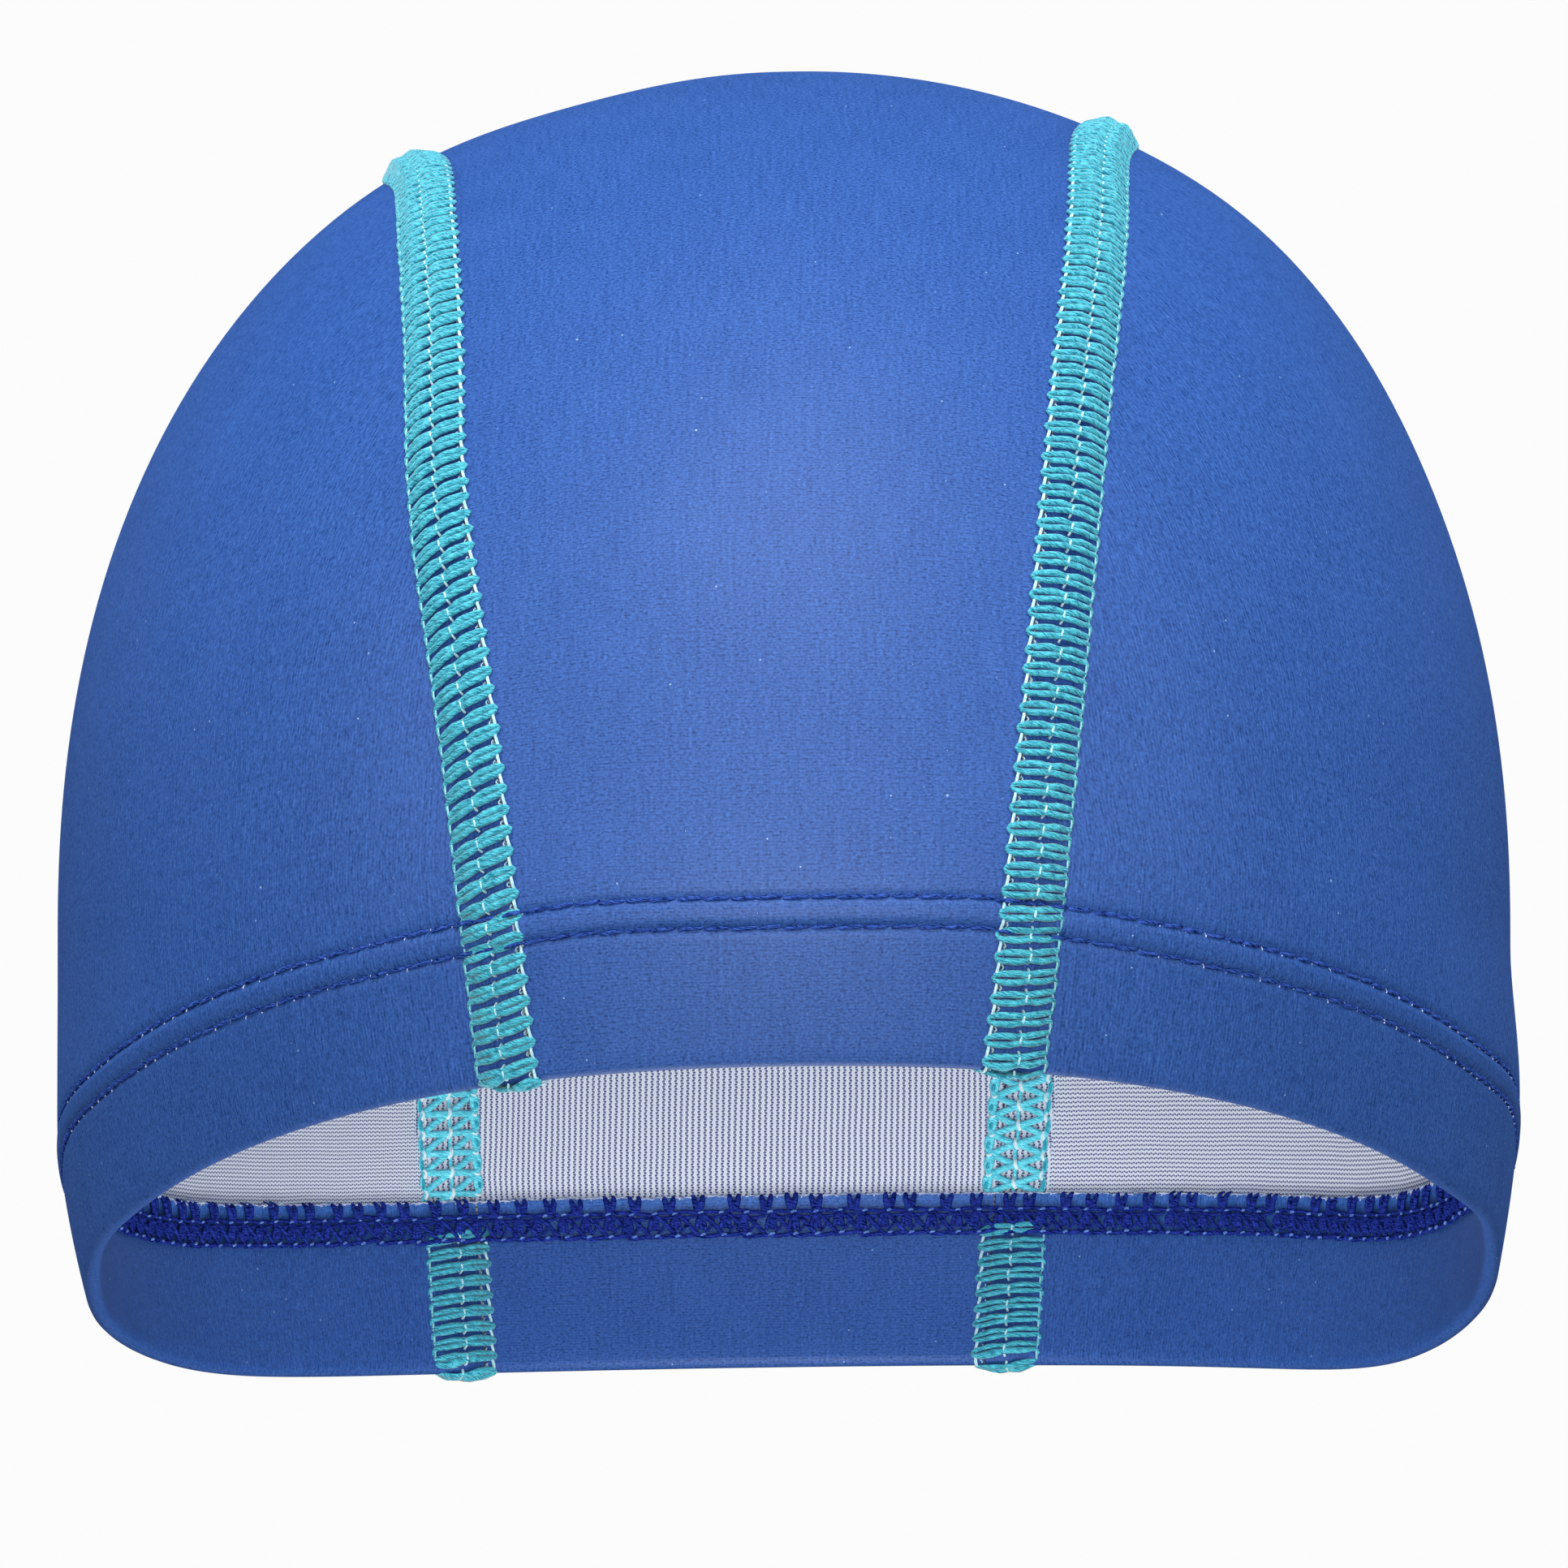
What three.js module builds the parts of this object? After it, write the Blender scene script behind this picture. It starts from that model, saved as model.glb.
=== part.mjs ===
// Swimming cap in three cloth panels, shaped as it sits on an adult head.
// Millimetres, +Z up, the brow towards -Y, +X to the right as seen from the front.
// The origin is the middle of the head opening, level with the rim at the brow.
import * as THREE from 'three';

// Form of the worn cap, measured to the outer face of the cloth
const HALF_WIDTH = 80.7;
const WIDEST_Y = 6;
const WIDEST_Z = 13;
const FRONT_REACH = 103;
const BACK_REACH = 91;
const DOME_RISE = 96;
const PLAN_POWER = 2.12;
const ARCH_POWER = { side: 2.23, brow: 1.92, nape: 2.0 };
const NAPE_TUCK = 8;
const NAPE_TUCK_DEPTH = 55;

// Rim: high on the brow, low at the nape, and a little lower on the -X side
const RIM_DROP = 39;
const RIM_FRONT_Y = -95;
const RIM_BACK_Y = 95;
const RIM_POWER = 1.08;
const RIM_ROLL = 0.014;

// Cloth and the turned-up hem
const CLOTH = 1.0;
const HEM_DEPTH = 20;
const HEM_STEP = 0.6;
const FOLD_ROUNDING = 0.6;
const HEM_STAND_OUT = 0.55;
const HEM_DRAW_IN = 3.2;
const HEM_DRAW_HEIGHT = 18;

// Seams between the panels, as distances from x = 0 across the head
const SEAM_HALF_GAP = { brow: 26.6, crown: 38.2, nape: 31.3 };
const SEAM_SHIFT = { brow: -2.5, nape: -5.8 };
const SEAM_ANGLE = { brow: -8, crown: 110, nape: 214 };
const SEAM_SLOT = 1.4;
const SEAM_WIDTH = 7.2;
const SEAM_THREAD = 0.8;
const SEAM_WEB = 0.8;
const SEAM_STEP_LIFT = 0.7;
const CLEARANCE = 0.3;

// Cover stitch inside the hem, over the raw edge
const COVER_LOW = 15;
const COVER_HIGH = 20;
const COVER_THREAD = 0.9;
const COVER_RAMP = { full: 5, none: 9 };

// How finely the cloth is divided
const HEM_ROWS = [0, FOLD_ROUNDING, 7, 14, HEM_DEPTH, HEM_DEPTH + HEM_STEP];
const CENTRE_COLUMNS = 8;
const CENTRE_ROWS = 40;
const SIDE_COLUMNS = 30;
const SIDE_ROWS = 14;
const SIDE_TOP_SHARE = 0.94;
const COVER_STATIONS = 144;

const COLOURS = { cloth: 0x4f79be, seam: 0x58a8bb, coverStitch: 0x1c2c8c };

const FORM_CENTRE = new THREE.Vector3(0, WIDEST_Y, WIDEST_Z);
const UP = new THREE.Vector3(0, 0, 1);
const ALONG_X = new THREE.Vector3(1, 0, 0);
const FAR_OUT = 160;
const HALVINGS = 40;

const { clamp, degToRad, lerp, smoothstep } = THREE.MathUtils;

// Value between low and high where isPast turns from false to true
function crossing(low, high, isPast) {
  for (let i = 0; i < HALVINGS; i += 1) {
    const middle = (low + high) / 2;
    if (isPast(middle)) {
      high = middle;
    } else {
      low = middle;
    }
  }
  return (low + high) / 2;
}

// Horizontal outline of the head where it is widest
function planRadius(azimuth) {
  const across = Math.abs(Math.cos(azimuth)) / HALF_WIDTH;
  const reach = Math.sin(azimuth) < 0 ? FRONT_REACH : BACK_REACH;
  const along = Math.abs(Math.sin(azimuth)) / reach;
  return (across ** PLAN_POWER + along ** PLAN_POWER) ** (-1 / PLAN_POWER);
}

// Roundness of the vertical section in the direction of the azimuth
function archPower(azimuth) {
  const end = Math.sin(azimuth) < 0 ? ARCH_POWER.brow : ARCH_POWER.nape;
  return lerp(ARCH_POWER.side, end, Math.sin(azimuth) ** 2);
}

function rimHeight(x, y) {
  const share = clamp((y - RIM_FRONT_Y) / (RIM_BACK_Y - RIM_FRONT_Y), 0, 1);
  return RIM_ROLL * x - RIM_DROP * Math.sin(Math.PI / 2 * share ** RIM_POWER);
}

// The doubled hem stands out a little, and then draws in to the rim
function hemOffset(height) {
  const standOut = HEM_STAND_OUT * (1 - smoothstep(height, HEM_DRAW_HEIGHT, HEM_DRAW_HEIGHT + 6));
  const drawIn = HEM_DRAW_IN * Math.max(0, 1 - height / HEM_DRAW_HEIGHT) ** 1.5;
  return standOut - drawIn;
}

function radiusAt(azimuth, z) {
  const widest = planRadius(azimuth);
  if (z >= WIDEST_Z) {
    const power = archPower(azimuth);
    const rise = Math.min((z - WIDEST_Z) / DOME_RISE, 1);
    return widest * (1 - rise ** power) ** (1 / power);
  }
  const back = Math.max(0, Math.sin(azimuth)) ** 2;
  const tuck = NAPE_TUCK * back * ((WIDEST_Z - z) / NAPE_TUCK_DEPTH) ** 1.8;
  const bare = widest - tuck;
  const y = WIDEST_Y + bare * Math.sin(azimuth);
  return bare + hemOffset(z - rimHeight(bare * Math.cos(azimuth), y));
}

function isOutside(point) {
  const y = point.y - WIDEST_Y;
  return Math.hypot(point.x, y) > radiusAt(Math.atan2(y, point.x), point.z);
}

// Point of the outer face that a straight line from inside the head meets
function castOut(from, direction) {
  const probe = new THREE.Vector3();
  const at = (distance) => probe.copy(direction).multiplyScalar(distance).add(from);
  return at(crossing(0, FAR_OUT, (distance) => isOutside(at(distance)))).clone();
}

function normalAt(point) {
  const out = point.clone().sub(FORM_CENTRE).normalize();
  const aside = new THREE.Vector3().crossVectors(out, Math.abs(out.z) < 0.9 ? UP : ALONG_X).normalize();
  const onward = new THREE.Vector3().crossVectors(aside, out);
  const nudge = 0.01;
  const stepTo = (way) => castOut(FORM_CENTRE, out.clone().addScaledVector(way, nudge).normalize())
    .sub(castOut(FORM_CENTRE, out.clone().addScaledVector(way, -nudge).normalize()));
  const normal = new THREE.Vector3().crossVectors(stepTo(aside), stepTo(onward)).normalize();
  return normal.dot(out) < 0 ? normal.negate() : normal;
}

function heightAboveRim(point) {
  return point.z - rimHeight(point.x, point.y);
}

// Point at a height above the rim, in the direction of the azimuth
function wallPoint(azimuth, height) {
  const at = (z) => {
    const radius = radiusAt(azimuth, z);
    return new THREE.Vector3(radius * Math.cos(azimuth), WIDEST_Y + radius * Math.sin(azimuth), z);
  };
  return at(crossing(-60, 60, (z) => heightAboveRim(at(z)) > height));
}

// Point at a sideways distance x, at an angle over the head: 0 ahead, 90 above, 180 behind
function overPoint(x, over) {
  const angle = degToRad(over);
  const from = new THREE.Vector3(x, WIDEST_Y, WIDEST_Z);
  return castOut(from, new THREE.Vector3(0, -Math.cos(angle), Math.sin(angle)));
}

// Sideways distance of a seam at an angle over the head, side -1 or +1
function seamX(side, over) {
  const front = over < SEAM_ANGLE.crown;
  const end = front ? SEAM_ANGLE.brow : SEAM_ANGLE.nape;
  const endGap = front ? SEAM_HALF_GAP.brow : SEAM_HALF_GAP.nape;
  const share = (over - SEAM_ANGLE.crown) / (end - SEAM_ANGLE.crown);
  const halfGap = lerp(SEAM_HALF_GAP.crown, endGap, share ** 2);
  const shift = lerp(SEAM_SHIFT.brow, SEAM_SHIFT.nape, smoothstep(over, 90, SEAM_ANGLE.nape));
  return shift + side * halfGap;
}

// Angle over the head where the line xAt(over) lies at a height above the rim
function overAtHeight(xAt, height, atBack) {
  const isPast = (over) => heightAboveRim(overPoint(xAt(over), over)) > height;
  return atBack ? crossing(240, 150, isPast) : crossing(-30, 40, isPast);
}

function wallThickness(height) {
  return height <= HEM_DEPTH + 1e-6 ? 2 * CLOTH : CLOTH;
}

// Angles over the head of the rows of a line from the brow rim to the nape rim
function rowAngles(xAt, rowsBetween, heights) {
  const front = heights.map((height) => overAtHeight(xAt, height, false));
  const back = heights.map((height) => overAtHeight(xAt, height, true)).reverse();
  const between = [];
  for (let i = 1; i < rowsBetween; i += 1) {
    between.push(lerp(front[front.length - 1], back[0], i / rowsBetween));
  }
  return [...front, ...between, ...back];
}

// Outer and inner face points below one point of the form
function wallPair(point) {
  const height = heightAboveRim(point);
  const normal = normalAt(point);
  const rounding = Math.max(0, FOLD_ROUNDING - Math.max(0, height));
  return {
    outer: point.clone().addScaledVector(normal, -rounding),
    inner: point.clone().addScaledVector(normal, rounding - wallThickness(height)),
  };
}

function geometryFrom(points, triangles) {
  const geometry = new THREE.BufferGeometry();
  geometry.setAttribute('position', new THREE.Float32BufferAttribute(points.flatMap((p) => p.toArray()), 3));
  const volume = triangles.reduce((sum, [a, b, c]) => (
    sum + points[a].dot(new THREE.Vector3().crossVectors(points[b], points[c]))), 0);
  geometry.setIndex(triangles.flatMap(([a, b, c]) => (volume < 0 ? [a, c, b] : [a, b, c])));
  geometry.computeVertexNormals();
  return geometry;
}

// Closed wall over a grid of points of the form, one array of points for each row
function wallGeometry(grid) {
  const columns = grid[0].length;
  const pairs = grid.flat().map(wallPair);
  const points = [...pairs.map((pair) => pair.outer), ...pairs.map((pair) => pair.inner)];
  const outer = (row, column) => row * columns + column;
  const inner = (row, column) => pairs.length + outer(row, column);
  const triangles = [];
  const quad = (a, b, c, d) => triangles.push([a, b, c], [a, c, d]);
  for (let row = 0; row + 1 < grid.length; row += 1) {
    for (let column = 0; column + 1 < columns; column += 1) {
      quad(outer(row, column), outer(row, column + 1), outer(row + 1, column + 1), outer(row + 1, column));
      quad(inner(row + 1, column), inner(row + 1, column + 1), inner(row, column + 1), inner(row, column));
    }
    quad(inner(row, 0), outer(row, 0), outer(row + 1, 0), inner(row + 1, 0));
    quad(outer(row, columns - 1), inner(row, columns - 1), inner(row + 1, columns - 1), outer(row + 1, columns - 1));
  }
  const last = grid.length - 1;
  for (let column = 0; column + 1 < columns; column += 1) {
    quad(outer(0, column), inner(0, column), inner(0, column + 1), outer(0, column + 1));
    quad(inner(last, column), outer(last, column), outer(last, column + 1), inner(last, column + 1));
  }
  return geometryFrom(points, triangles);
}

// Closed solid through rings of points, capped at its ends or joined into a loop
function sweptGeometry(rings, outline, isLoop) {
  const size = outline.length;
  const triangles = [];
  const spans = isLoop ? rings.length : rings.length - 1;
  for (let i = 0; i < spans; i += 1) {
    const here = i * size;
    const next = ((i + 1) % rings.length) * size;
    for (let k = 0; k < size; k += 1) {
      const far = (k + 1) % size;
      triangles.push([here + k, here + far, next + far], [here + k, next + far, next + k]);
    }
  }
  if (!isLoop) {
    const start = (rings.length - 1) * size;
    THREE.ShapeUtils.triangulateShape(outline, []).forEach(([a, b, c]) => {
      triangles.push([c, b, a], [start + a, start + b, start + c]);
    });
  }
  return geometryFrom(rings.flat(), triangles);
}

// Panel from the brow to the nape, between the two seams
function centrePanel() {
  const columns = [];
  for (let column = 0; column <= CENTRE_COLUMNS; column += 1) {
    const share = column / CENTRE_COLUMNS;
    const xAt = (over) => lerp(seamX(-1, over) + SEAM_SLOT / 2, seamX(1, over) - SEAM_SLOT / 2, share);
    columns.push(rowAngles(xAt, CENTRE_ROWS, HEM_ROWS).map((over) => overPoint(xAt(over), over)));
  }
  const grid = columns[0].map((_, row) => columns.map((points) => points[row]));
  return wallGeometry(grid);
}

// Direction of a point from the middle of the form, mirrored for the -X side
function directionTo(point, side) {
  const from = point.clone().sub(FORM_CENTRE);
  return { azimuth: Math.atan2(from.y, side * from.x), lift: Math.atan2(from.z, Math.hypot(from.x, from.y)) };
}

function pointTowards({ azimuth, lift }, side) {
  const level = Math.cos(lift);
  const direction = new THREE.Vector3(side * Math.cos(azimuth) * level, Math.sin(azimuth) * level, Math.sin(lift));
  return castOut(FORM_CENTRE, direction);
}

// Panel over one ear: each row runs from the seam at the brow round to the seam at the nape
function sidePanel(side) {
  const xAt = (over) => seamX(side, over) + side * SEAM_SLOT / 2;
  const shares = Array.from({ length: SIDE_COLUMNS + 1 }, (_, column) => column / SIDE_COLUMNS);
  const hemRow = (height) => {
    const ends = [false, true].map((atBack) => {
      const over = overAtHeight(xAt, height, atBack);
      return directionTo(overPoint(xAt(over), over), side).azimuth;
    });
    return shares.map((share) => {
      const azimuth = lerp(ends[0], ends[1], share);
      return wallPoint(side > 0 ? azimuth : Math.PI - azimuth, height);
    });
  };
  const edgeHeight = HEM_ROWS[HEM_ROWS.length - 1];
  const hemEdge = hemRow(edgeHeight).map((point) => directionTo(point, side));
  const bend = shares.map((share, i) => (
    hemEdge[i].lift - lerp(hemEdge[0].lift, hemEdge[SIDE_COLUMNS].lift, share)));
  const edgeOver = [false, true].map((atBack) => overAtHeight(xAt, edgeHeight, atBack));
  const grid = HEM_ROWS.map(hemRow);
  for (let row = 1; row < SIDE_ROWS; row += 1) {
    const rise = row / SIDE_ROWS * SIDE_TOP_SHARE;
    const middle = (edgeOver[0] + edgeOver[1]) / 2;
    const [front, back] = edgeOver.map((over) => {
      const here = lerp(over, middle, rise);
      return directionTo(overPoint(xAt(here), here), side);
    });
    grid.push(shares.map((share, i) => pointTowards({
      azimuth: lerp(front.azimuth, back.azimuth, share),
      lift: lerp(front.lift, back.lift, share) + bend[i] * (1 - rise),
    }, side)));
  }
  grid.push(shares.map((share) => {
    const reach = (edgeOver[1] - edgeOver[0]) / 2 * (1 - SIDE_TOP_SHARE);
    const over = (edgeOver[0] + edgeOver[1]) / 2 + lerp(-reach, reach, share);
    return overPoint(xAt(over), over);
  }));
  return wallGeometry(grid);
}

// Seam thread as an H: a band outside, a band inside, and the web between the panel edges.
// Each corner is a distance across the seam and a distance out from the outer face.
function seamOutline(thickness) {
  const half = SEAM_WIDTH / 2;
  const web = SEAM_WEB / 2;
  const outside = CLEARANCE;
  const inside = -thickness - CLEARANCE;
  return [
    [-half, outside + SEAM_THREAD], [-half, outside], [-web, outside], [-web, inside],
    [-half, inside], [-half, inside - SEAM_THREAD], [half, inside - SEAM_THREAD], [half, inside],
    [web, inside], [web, outside], [half, outside], [half, outside + SEAM_THREAD],
  ].map(([across, out]) => new THREE.Vector2(across, out));
}

// The inner band steps over the raw edge of the hem a little above it
function seam(side) {
  const xAt = (over) => seamX(side, over);
  const heights = HEM_ROWS.map((height) => (height < HEM_DEPTH ? height : height + SEAM_STEP_LIFT));
  const line = rowAngles(xAt, CENTRE_ROWS, heights).map((over) => overPoint(xAt(over), over));
  const rings = line.map((point, i) => {
    const before = line[Math.max(0, i - 1)];
    const after = line[Math.min(line.length - 1, i + 1)];
    const across = new THREE.Vector3().crossVectors(after.clone().sub(before), normalAt(point)).normalize();
    return seamOutline(wallThickness(heightAboveRim(point) - SEAM_STEP_LIFT)).map((corner) => {
      const beside = point.clone().addScaledVector(across, corner.x).sub(FORM_CENTRE).normalize();
      const onForm = castOut(FORM_CENTRE, beside);
      return onForm.clone().addScaledVector(normalAt(onForm), corner.y);
    });
  });
  return sweptGeometry(rings, seamOutline(CLOTH), false);
}

// The cover stitch climbs over the inner band of a seam where it crosses one
function coverRise(point) {
  const over = Math.atan2(point.z - WIDEST_Z, WIDEST_Y - point.y) * 180 / Math.PI;
  const wrapped = over < -90 ? over + 360 : over;
  const nearest = Math.min(...[-1, 1].map((side) => Math.abs(point.x - seamX(side, wrapped))));
  return (SEAM_THREAD + CLEARANCE) * (1 - smoothstep(nearest, COVER_RAMP.full, COVER_RAMP.none));
}

function coverStitch() {
  const rings = [];
  for (let i = 0; i < COVER_STATIONS; i += 1) {
    const azimuth = i / COVER_STATIONS * 2 * Math.PI;
    const low = wallPoint(azimuth, COVER_LOW);
    const high = wallPoint(azimuth, COVER_HIGH);
    const outerFace = -2 * CLOTH - CLEARANCE - coverRise(low);
    const innerFace = outerFace - COVER_THREAD;
    rings.push([[low, outerFace], [high, outerFace], [high, innerFace], [low, innerFace]].map(([point, out]) => (
      point.clone().addScaledVector(normalAt(point), out))));
  }
  return sweptGeometry(rings, rings[0], true);
}

function addPiece(group, name, geometry, color, roughness) {
  const material = new THREE.MeshStandardMaterial({ color, roughness, metalness: 0 });
  const mesh = new THREE.Mesh(geometry, material);
  mesh.name = name;
  group.add(mesh);
}

const cap = new THREE.Group();
addPiece(cap, 'centre_panel', centrePanel(), COLOURS.cloth, 0.45);
addPiece(cap, 'side_panel_left', sidePanel(-1), COLOURS.cloth, 0.45);
addPiece(cap, 'side_panel_right', sidePanel(1), COLOURS.cloth, 0.45);
addPiece(cap, 'seam_left', seam(-1), COLOURS.seam, 0.9);
addPiece(cap, 'seam_right', seam(1), COLOURS.seam, 0.9);
addPiece(cap, 'hem_cover_stitch', coverStitch(), COLOURS.coverStitch, 0.9);

export default cap;
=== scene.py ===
# %% [markdown]
# ## A swimming cap in three cloth panels
# The cap is a strip of coated stretch cloth from the brow to the nape, with a half-dome of the same
# cloth over each ear. Two flat seams join them, and the rim is turned up and stitched all round.
# Everything is placed in the frame of the imported model, so the frame is loaded before anything else.

# %% Load the fixed frame
import math

import bpy
import numpy as np
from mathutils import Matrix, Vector


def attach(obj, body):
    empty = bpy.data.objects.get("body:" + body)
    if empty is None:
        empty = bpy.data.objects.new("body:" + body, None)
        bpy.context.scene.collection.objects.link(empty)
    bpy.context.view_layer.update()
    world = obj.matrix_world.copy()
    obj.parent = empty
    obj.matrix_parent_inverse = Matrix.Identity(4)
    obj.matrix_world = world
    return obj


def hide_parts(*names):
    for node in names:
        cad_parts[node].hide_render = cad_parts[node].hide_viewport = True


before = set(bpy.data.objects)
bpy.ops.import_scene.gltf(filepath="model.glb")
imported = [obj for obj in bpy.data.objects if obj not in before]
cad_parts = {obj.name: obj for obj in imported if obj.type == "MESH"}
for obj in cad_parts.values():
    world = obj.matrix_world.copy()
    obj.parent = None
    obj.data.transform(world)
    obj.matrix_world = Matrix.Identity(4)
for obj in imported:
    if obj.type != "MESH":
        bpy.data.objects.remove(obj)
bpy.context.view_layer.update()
MM = 0.001

# %% [markdown]
# ## The form of the head
# A worn cap has no shape of its own: it takes the head's. The form is worked out from a few sizes in
# millimetres, so that cloth and thread can both be laid on the same surface. Seen from above it is a
# full oval, and each upright section is a rounded arch. Working with whole arrays of points at once
# keeps this quick even for tens of thousands of points.

# %% Sizes of the worn form
HALF_WIDTH = 80.7
WIDEST_Y = 6.0
WIDEST_Z = 13.0
FRONT_REACH = 103.0
BACK_REACH = 91.0
DOME_RISE = 96.0
PLAN_POWER = 2.12
ARCH_SIDE, ARCH_BROW, ARCH_NAPE = 2.23, 1.92, 2.0
NAPE_TUCK, NAPE_TUCK_DEPTH, NAPE_TUCK_POWER = 8.0, 55.0, 1.8
RIM_DROP, RIM_FRONT_Y, RIM_BACK_Y = 39.0, -95.0, 95.0
RIM_POWER, RIM_ROLL = 1.08, 0.014
RIM_SAG, RIM_SAG_ROLL, RIM_SAG_Y, RIM_SAG_WIDTH = 1.7, 0.0085, 50.0, 22.0
RIM_LIFT, RIM_LIFT_ROLL, RIM_LIFT_Y, RIM_LIFT_WIDTH = 1.9, 0.0055, -12.0, 20.0
HEM_STAND_OUT, HEM_STAND_OUT_ROLL, HEM_FADE_HEIGHT = 0.55, 0.5, 34.0
HEM_DRAW_IN, HEM_DRAW_HEIGHT, HEM_DRAW_POWER = 3.2, 18.0, 1.5
HEM_EASE, HEM_EASE_FROM, HEM_EASE_TO = 0.9, 40.0, 78.0


def smooth_step(value, low, high):
    share = np.clip((value - low) / (high - low), 0, 1)
    return share * share * (3 - 2 * share)


def bell(value, middle, width):
    return np.exp(-((value - middle) / width) ** 2)


def mix(low, high, share):
    return low + (high - low) * share


# %% Radius of the form at an azimuth and a height
def plan_radius(azimuth):
    across = np.abs(np.cos(azimuth)) / HALF_WIDTH
    reach = np.where(np.sin(azimuth) < 0, FRONT_REACH, BACK_REACH)
    along = np.abs(np.sin(azimuth)) / reach
    return (across ** PLAN_POWER + along ** PLAN_POWER) ** (-1 / PLAN_POWER)


def rim_height(x, y):
    """The rim falls from brow to nape, lifts a little at the temples and sags behind them."""
    share = np.clip((y - RIM_FRONT_Y) / (RIM_BACK_Y - RIM_FRONT_Y), 0, 1)
    sag = (RIM_SAG + RIM_SAG_ROLL * x) * bell(y, RIM_SAG_Y, RIM_SAG_WIDTH)
    lift = (RIM_LIFT + RIM_LIFT_ROLL * x) * bell(y, RIM_LIFT_Y, RIM_LIFT_WIDTH)
    return RIM_ROLL * x - RIM_DROP * np.sin(math.pi / 2 * share ** RIM_POWER) - sag + lift


def hem_offset(height, x):
    """The hem stands out a little and is drawn in towards the rim, less on one side than on the other."""
    stand_out = HEM_STAND_OUT + HEM_STAND_OUT_ROLL * x / HALF_WIDTH
    stand_out = stand_out * (1 - smooth_step(height, HEM_DRAW_HEIGHT, HEM_FADE_HEIGHT))
    draw_in = HEM_DRAW_IN - HEM_EASE * smooth_step(x, HEM_EASE_FROM, HEM_EASE_TO)
    return stand_out - draw_in * np.clip(1 - height / HEM_DRAW_HEIGHT, 0, None) ** HEM_DRAW_POWER


def radius_at(azimuth, z):
    """Distance of the outer face from the upright line through the form's middle."""
    widest = plan_radius(azimuth)
    end = np.where(np.sin(azimuth) < 0, ARCH_BROW, ARCH_NAPE)
    power = mix(ARCH_SIDE, end, np.sin(azimuth) ** 2)
    rise = np.clip((z - WIDEST_Z) / DOME_RISE, 0, 1)
    above = widest * (1 - rise ** power) ** (1 / power)
    depth = np.clip((WIDEST_Z - z) / NAPE_TUCK_DEPTH, 0, None)
    bare = widest - NAPE_TUCK * np.clip(np.sin(azimuth), 0, None) ** 2 * depth ** NAPE_TUCK_POWER
    x = bare * np.cos(azimuth)
    rim = rim_height(x, WIDEST_Y + bare * np.sin(azimuth))
    return np.where(z >= WIDEST_Z, above, bare) + hem_offset(z - rim, x)


print("half-width", float(radius_at(np.array(0.0), np.array(WIDEST_Z))), "mm")


# %% Points of the form, found by halving
HALVINGS = 32
FARTHEST, WALL_REACH = 160.0, 60.0
NUDGE, STEEP = 0.01, 0.9
FORM_CENTRE = np.array([0, WIDEST_Y, WIDEST_Z])
FULLER_X, FULLER_WIDTH, FULLER_BY = 57.0, 17.0, 1.45
FLATTER_X, FLATTER_WIDTH, FLATTER_BY = -24.0, 16.0, 1.2
LEAN_FROM, LEAN_TO = 45.0, 78.0


def crossing(low, high, shape, is_past):
    """Values between low and high, in an array of that shape, where is_past turns true."""
    low, high = np.full(shape, low), np.full(shape, high)
    for _ in range(HALVINGS):
        middle = (low + high) / 2
        past = is_past(middle)
        low, high = np.where(past, low, middle), np.where(past, middle, high)
    return (low + high) / 2


def crown_lean(x, z):
    """No head is quite even: the cap stands fuller on one side of the crown and flatter on the other."""
    fuller = FULLER_BY * bell(x, FULLER_X, FULLER_WIDTH)
    flatter = FLATTER_BY * bell(x, FLATTER_X, FLATTER_WIDTH)
    return (fuller - flatter) * smooth_step(z, LEAN_FROM, LEAN_TO)


def is_outside(points):
    x, y, z = points[..., 0], points[..., 1] - WIDEST_Y, points[..., 2]
    return np.hypot(x, y) > radius_at(np.arctan2(y, x), z - crown_lean(x, z))


def cast_out(start, direction):
    """Points of the outer face that lines from inside the head meet."""
    shape = np.broadcast(start[..., 0], direction[..., 0]).shape
    distance = crossing(0.0, FARTHEST, shape, lambda d: is_outside(start + direction * d[..., None]))
    return start + direction * distance[..., None]


def unit(vectors):
    return vectors / np.linalg.norm(vectors, axis=-1, keepdims=True)


def normal_at(points):
    """Normals of the form, from four points close by."""
    out = unit(points - FORM_CENTRE)
    pole = np.where(np.abs(out[..., 2:]) < STEEP, np.array([0, 0, 1.0]), np.array([1.0, 0, 0]))
    aside = unit(np.cross(out, pole))
    onward = np.cross(aside, out)
    ends = [[cast_out(FORM_CENTRE, unit(out + way * step)) for step in (NUDGE, -NUDGE)]
            for way in (aside, onward)]
    normal = unit(np.cross(*(ahead - behind for ahead, behind in ends)))
    return normal * np.sign((normal * out).sum(-1, keepdims=True))


def height_above_rim(points):
    return points[..., 2] - rim_height(points[..., 0], points[..., 1])


def wall_point(azimuth, height):
    """Point at a height above the rim, in the direction of the azimuth."""
    def at(z):
        radius = radius_at(azimuth, z)
        return np.stack([radius * np.cos(azimuth), WIDEST_Y + radius * np.sin(azimuth), z], -1)
    shape = np.broadcast(azimuth, height).shape
    return at(crossing(-WALL_REACH, WALL_REACH, shape, lambda z: height_above_rim(at(z)) > height))


def over_point(x, over):
    """Point at a sideways distance, at an angle over the head: 0 ahead, 90 above, 180 behind."""
    angle = np.radians(over)
    x, angle = np.broadcast_arrays(x, angle)
    start = np.stack([x, np.full(x.shape, WIDEST_Y), np.full(x.shape, WIDEST_Z)], -1)
    return cast_out(start, np.stack([np.zeros(x.shape), -np.cos(angle), np.sin(angle)], -1))


crown = over_point(np.array(0.0), np.array(90.0))
print("crown at", crown.round(1), "mm")

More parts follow.
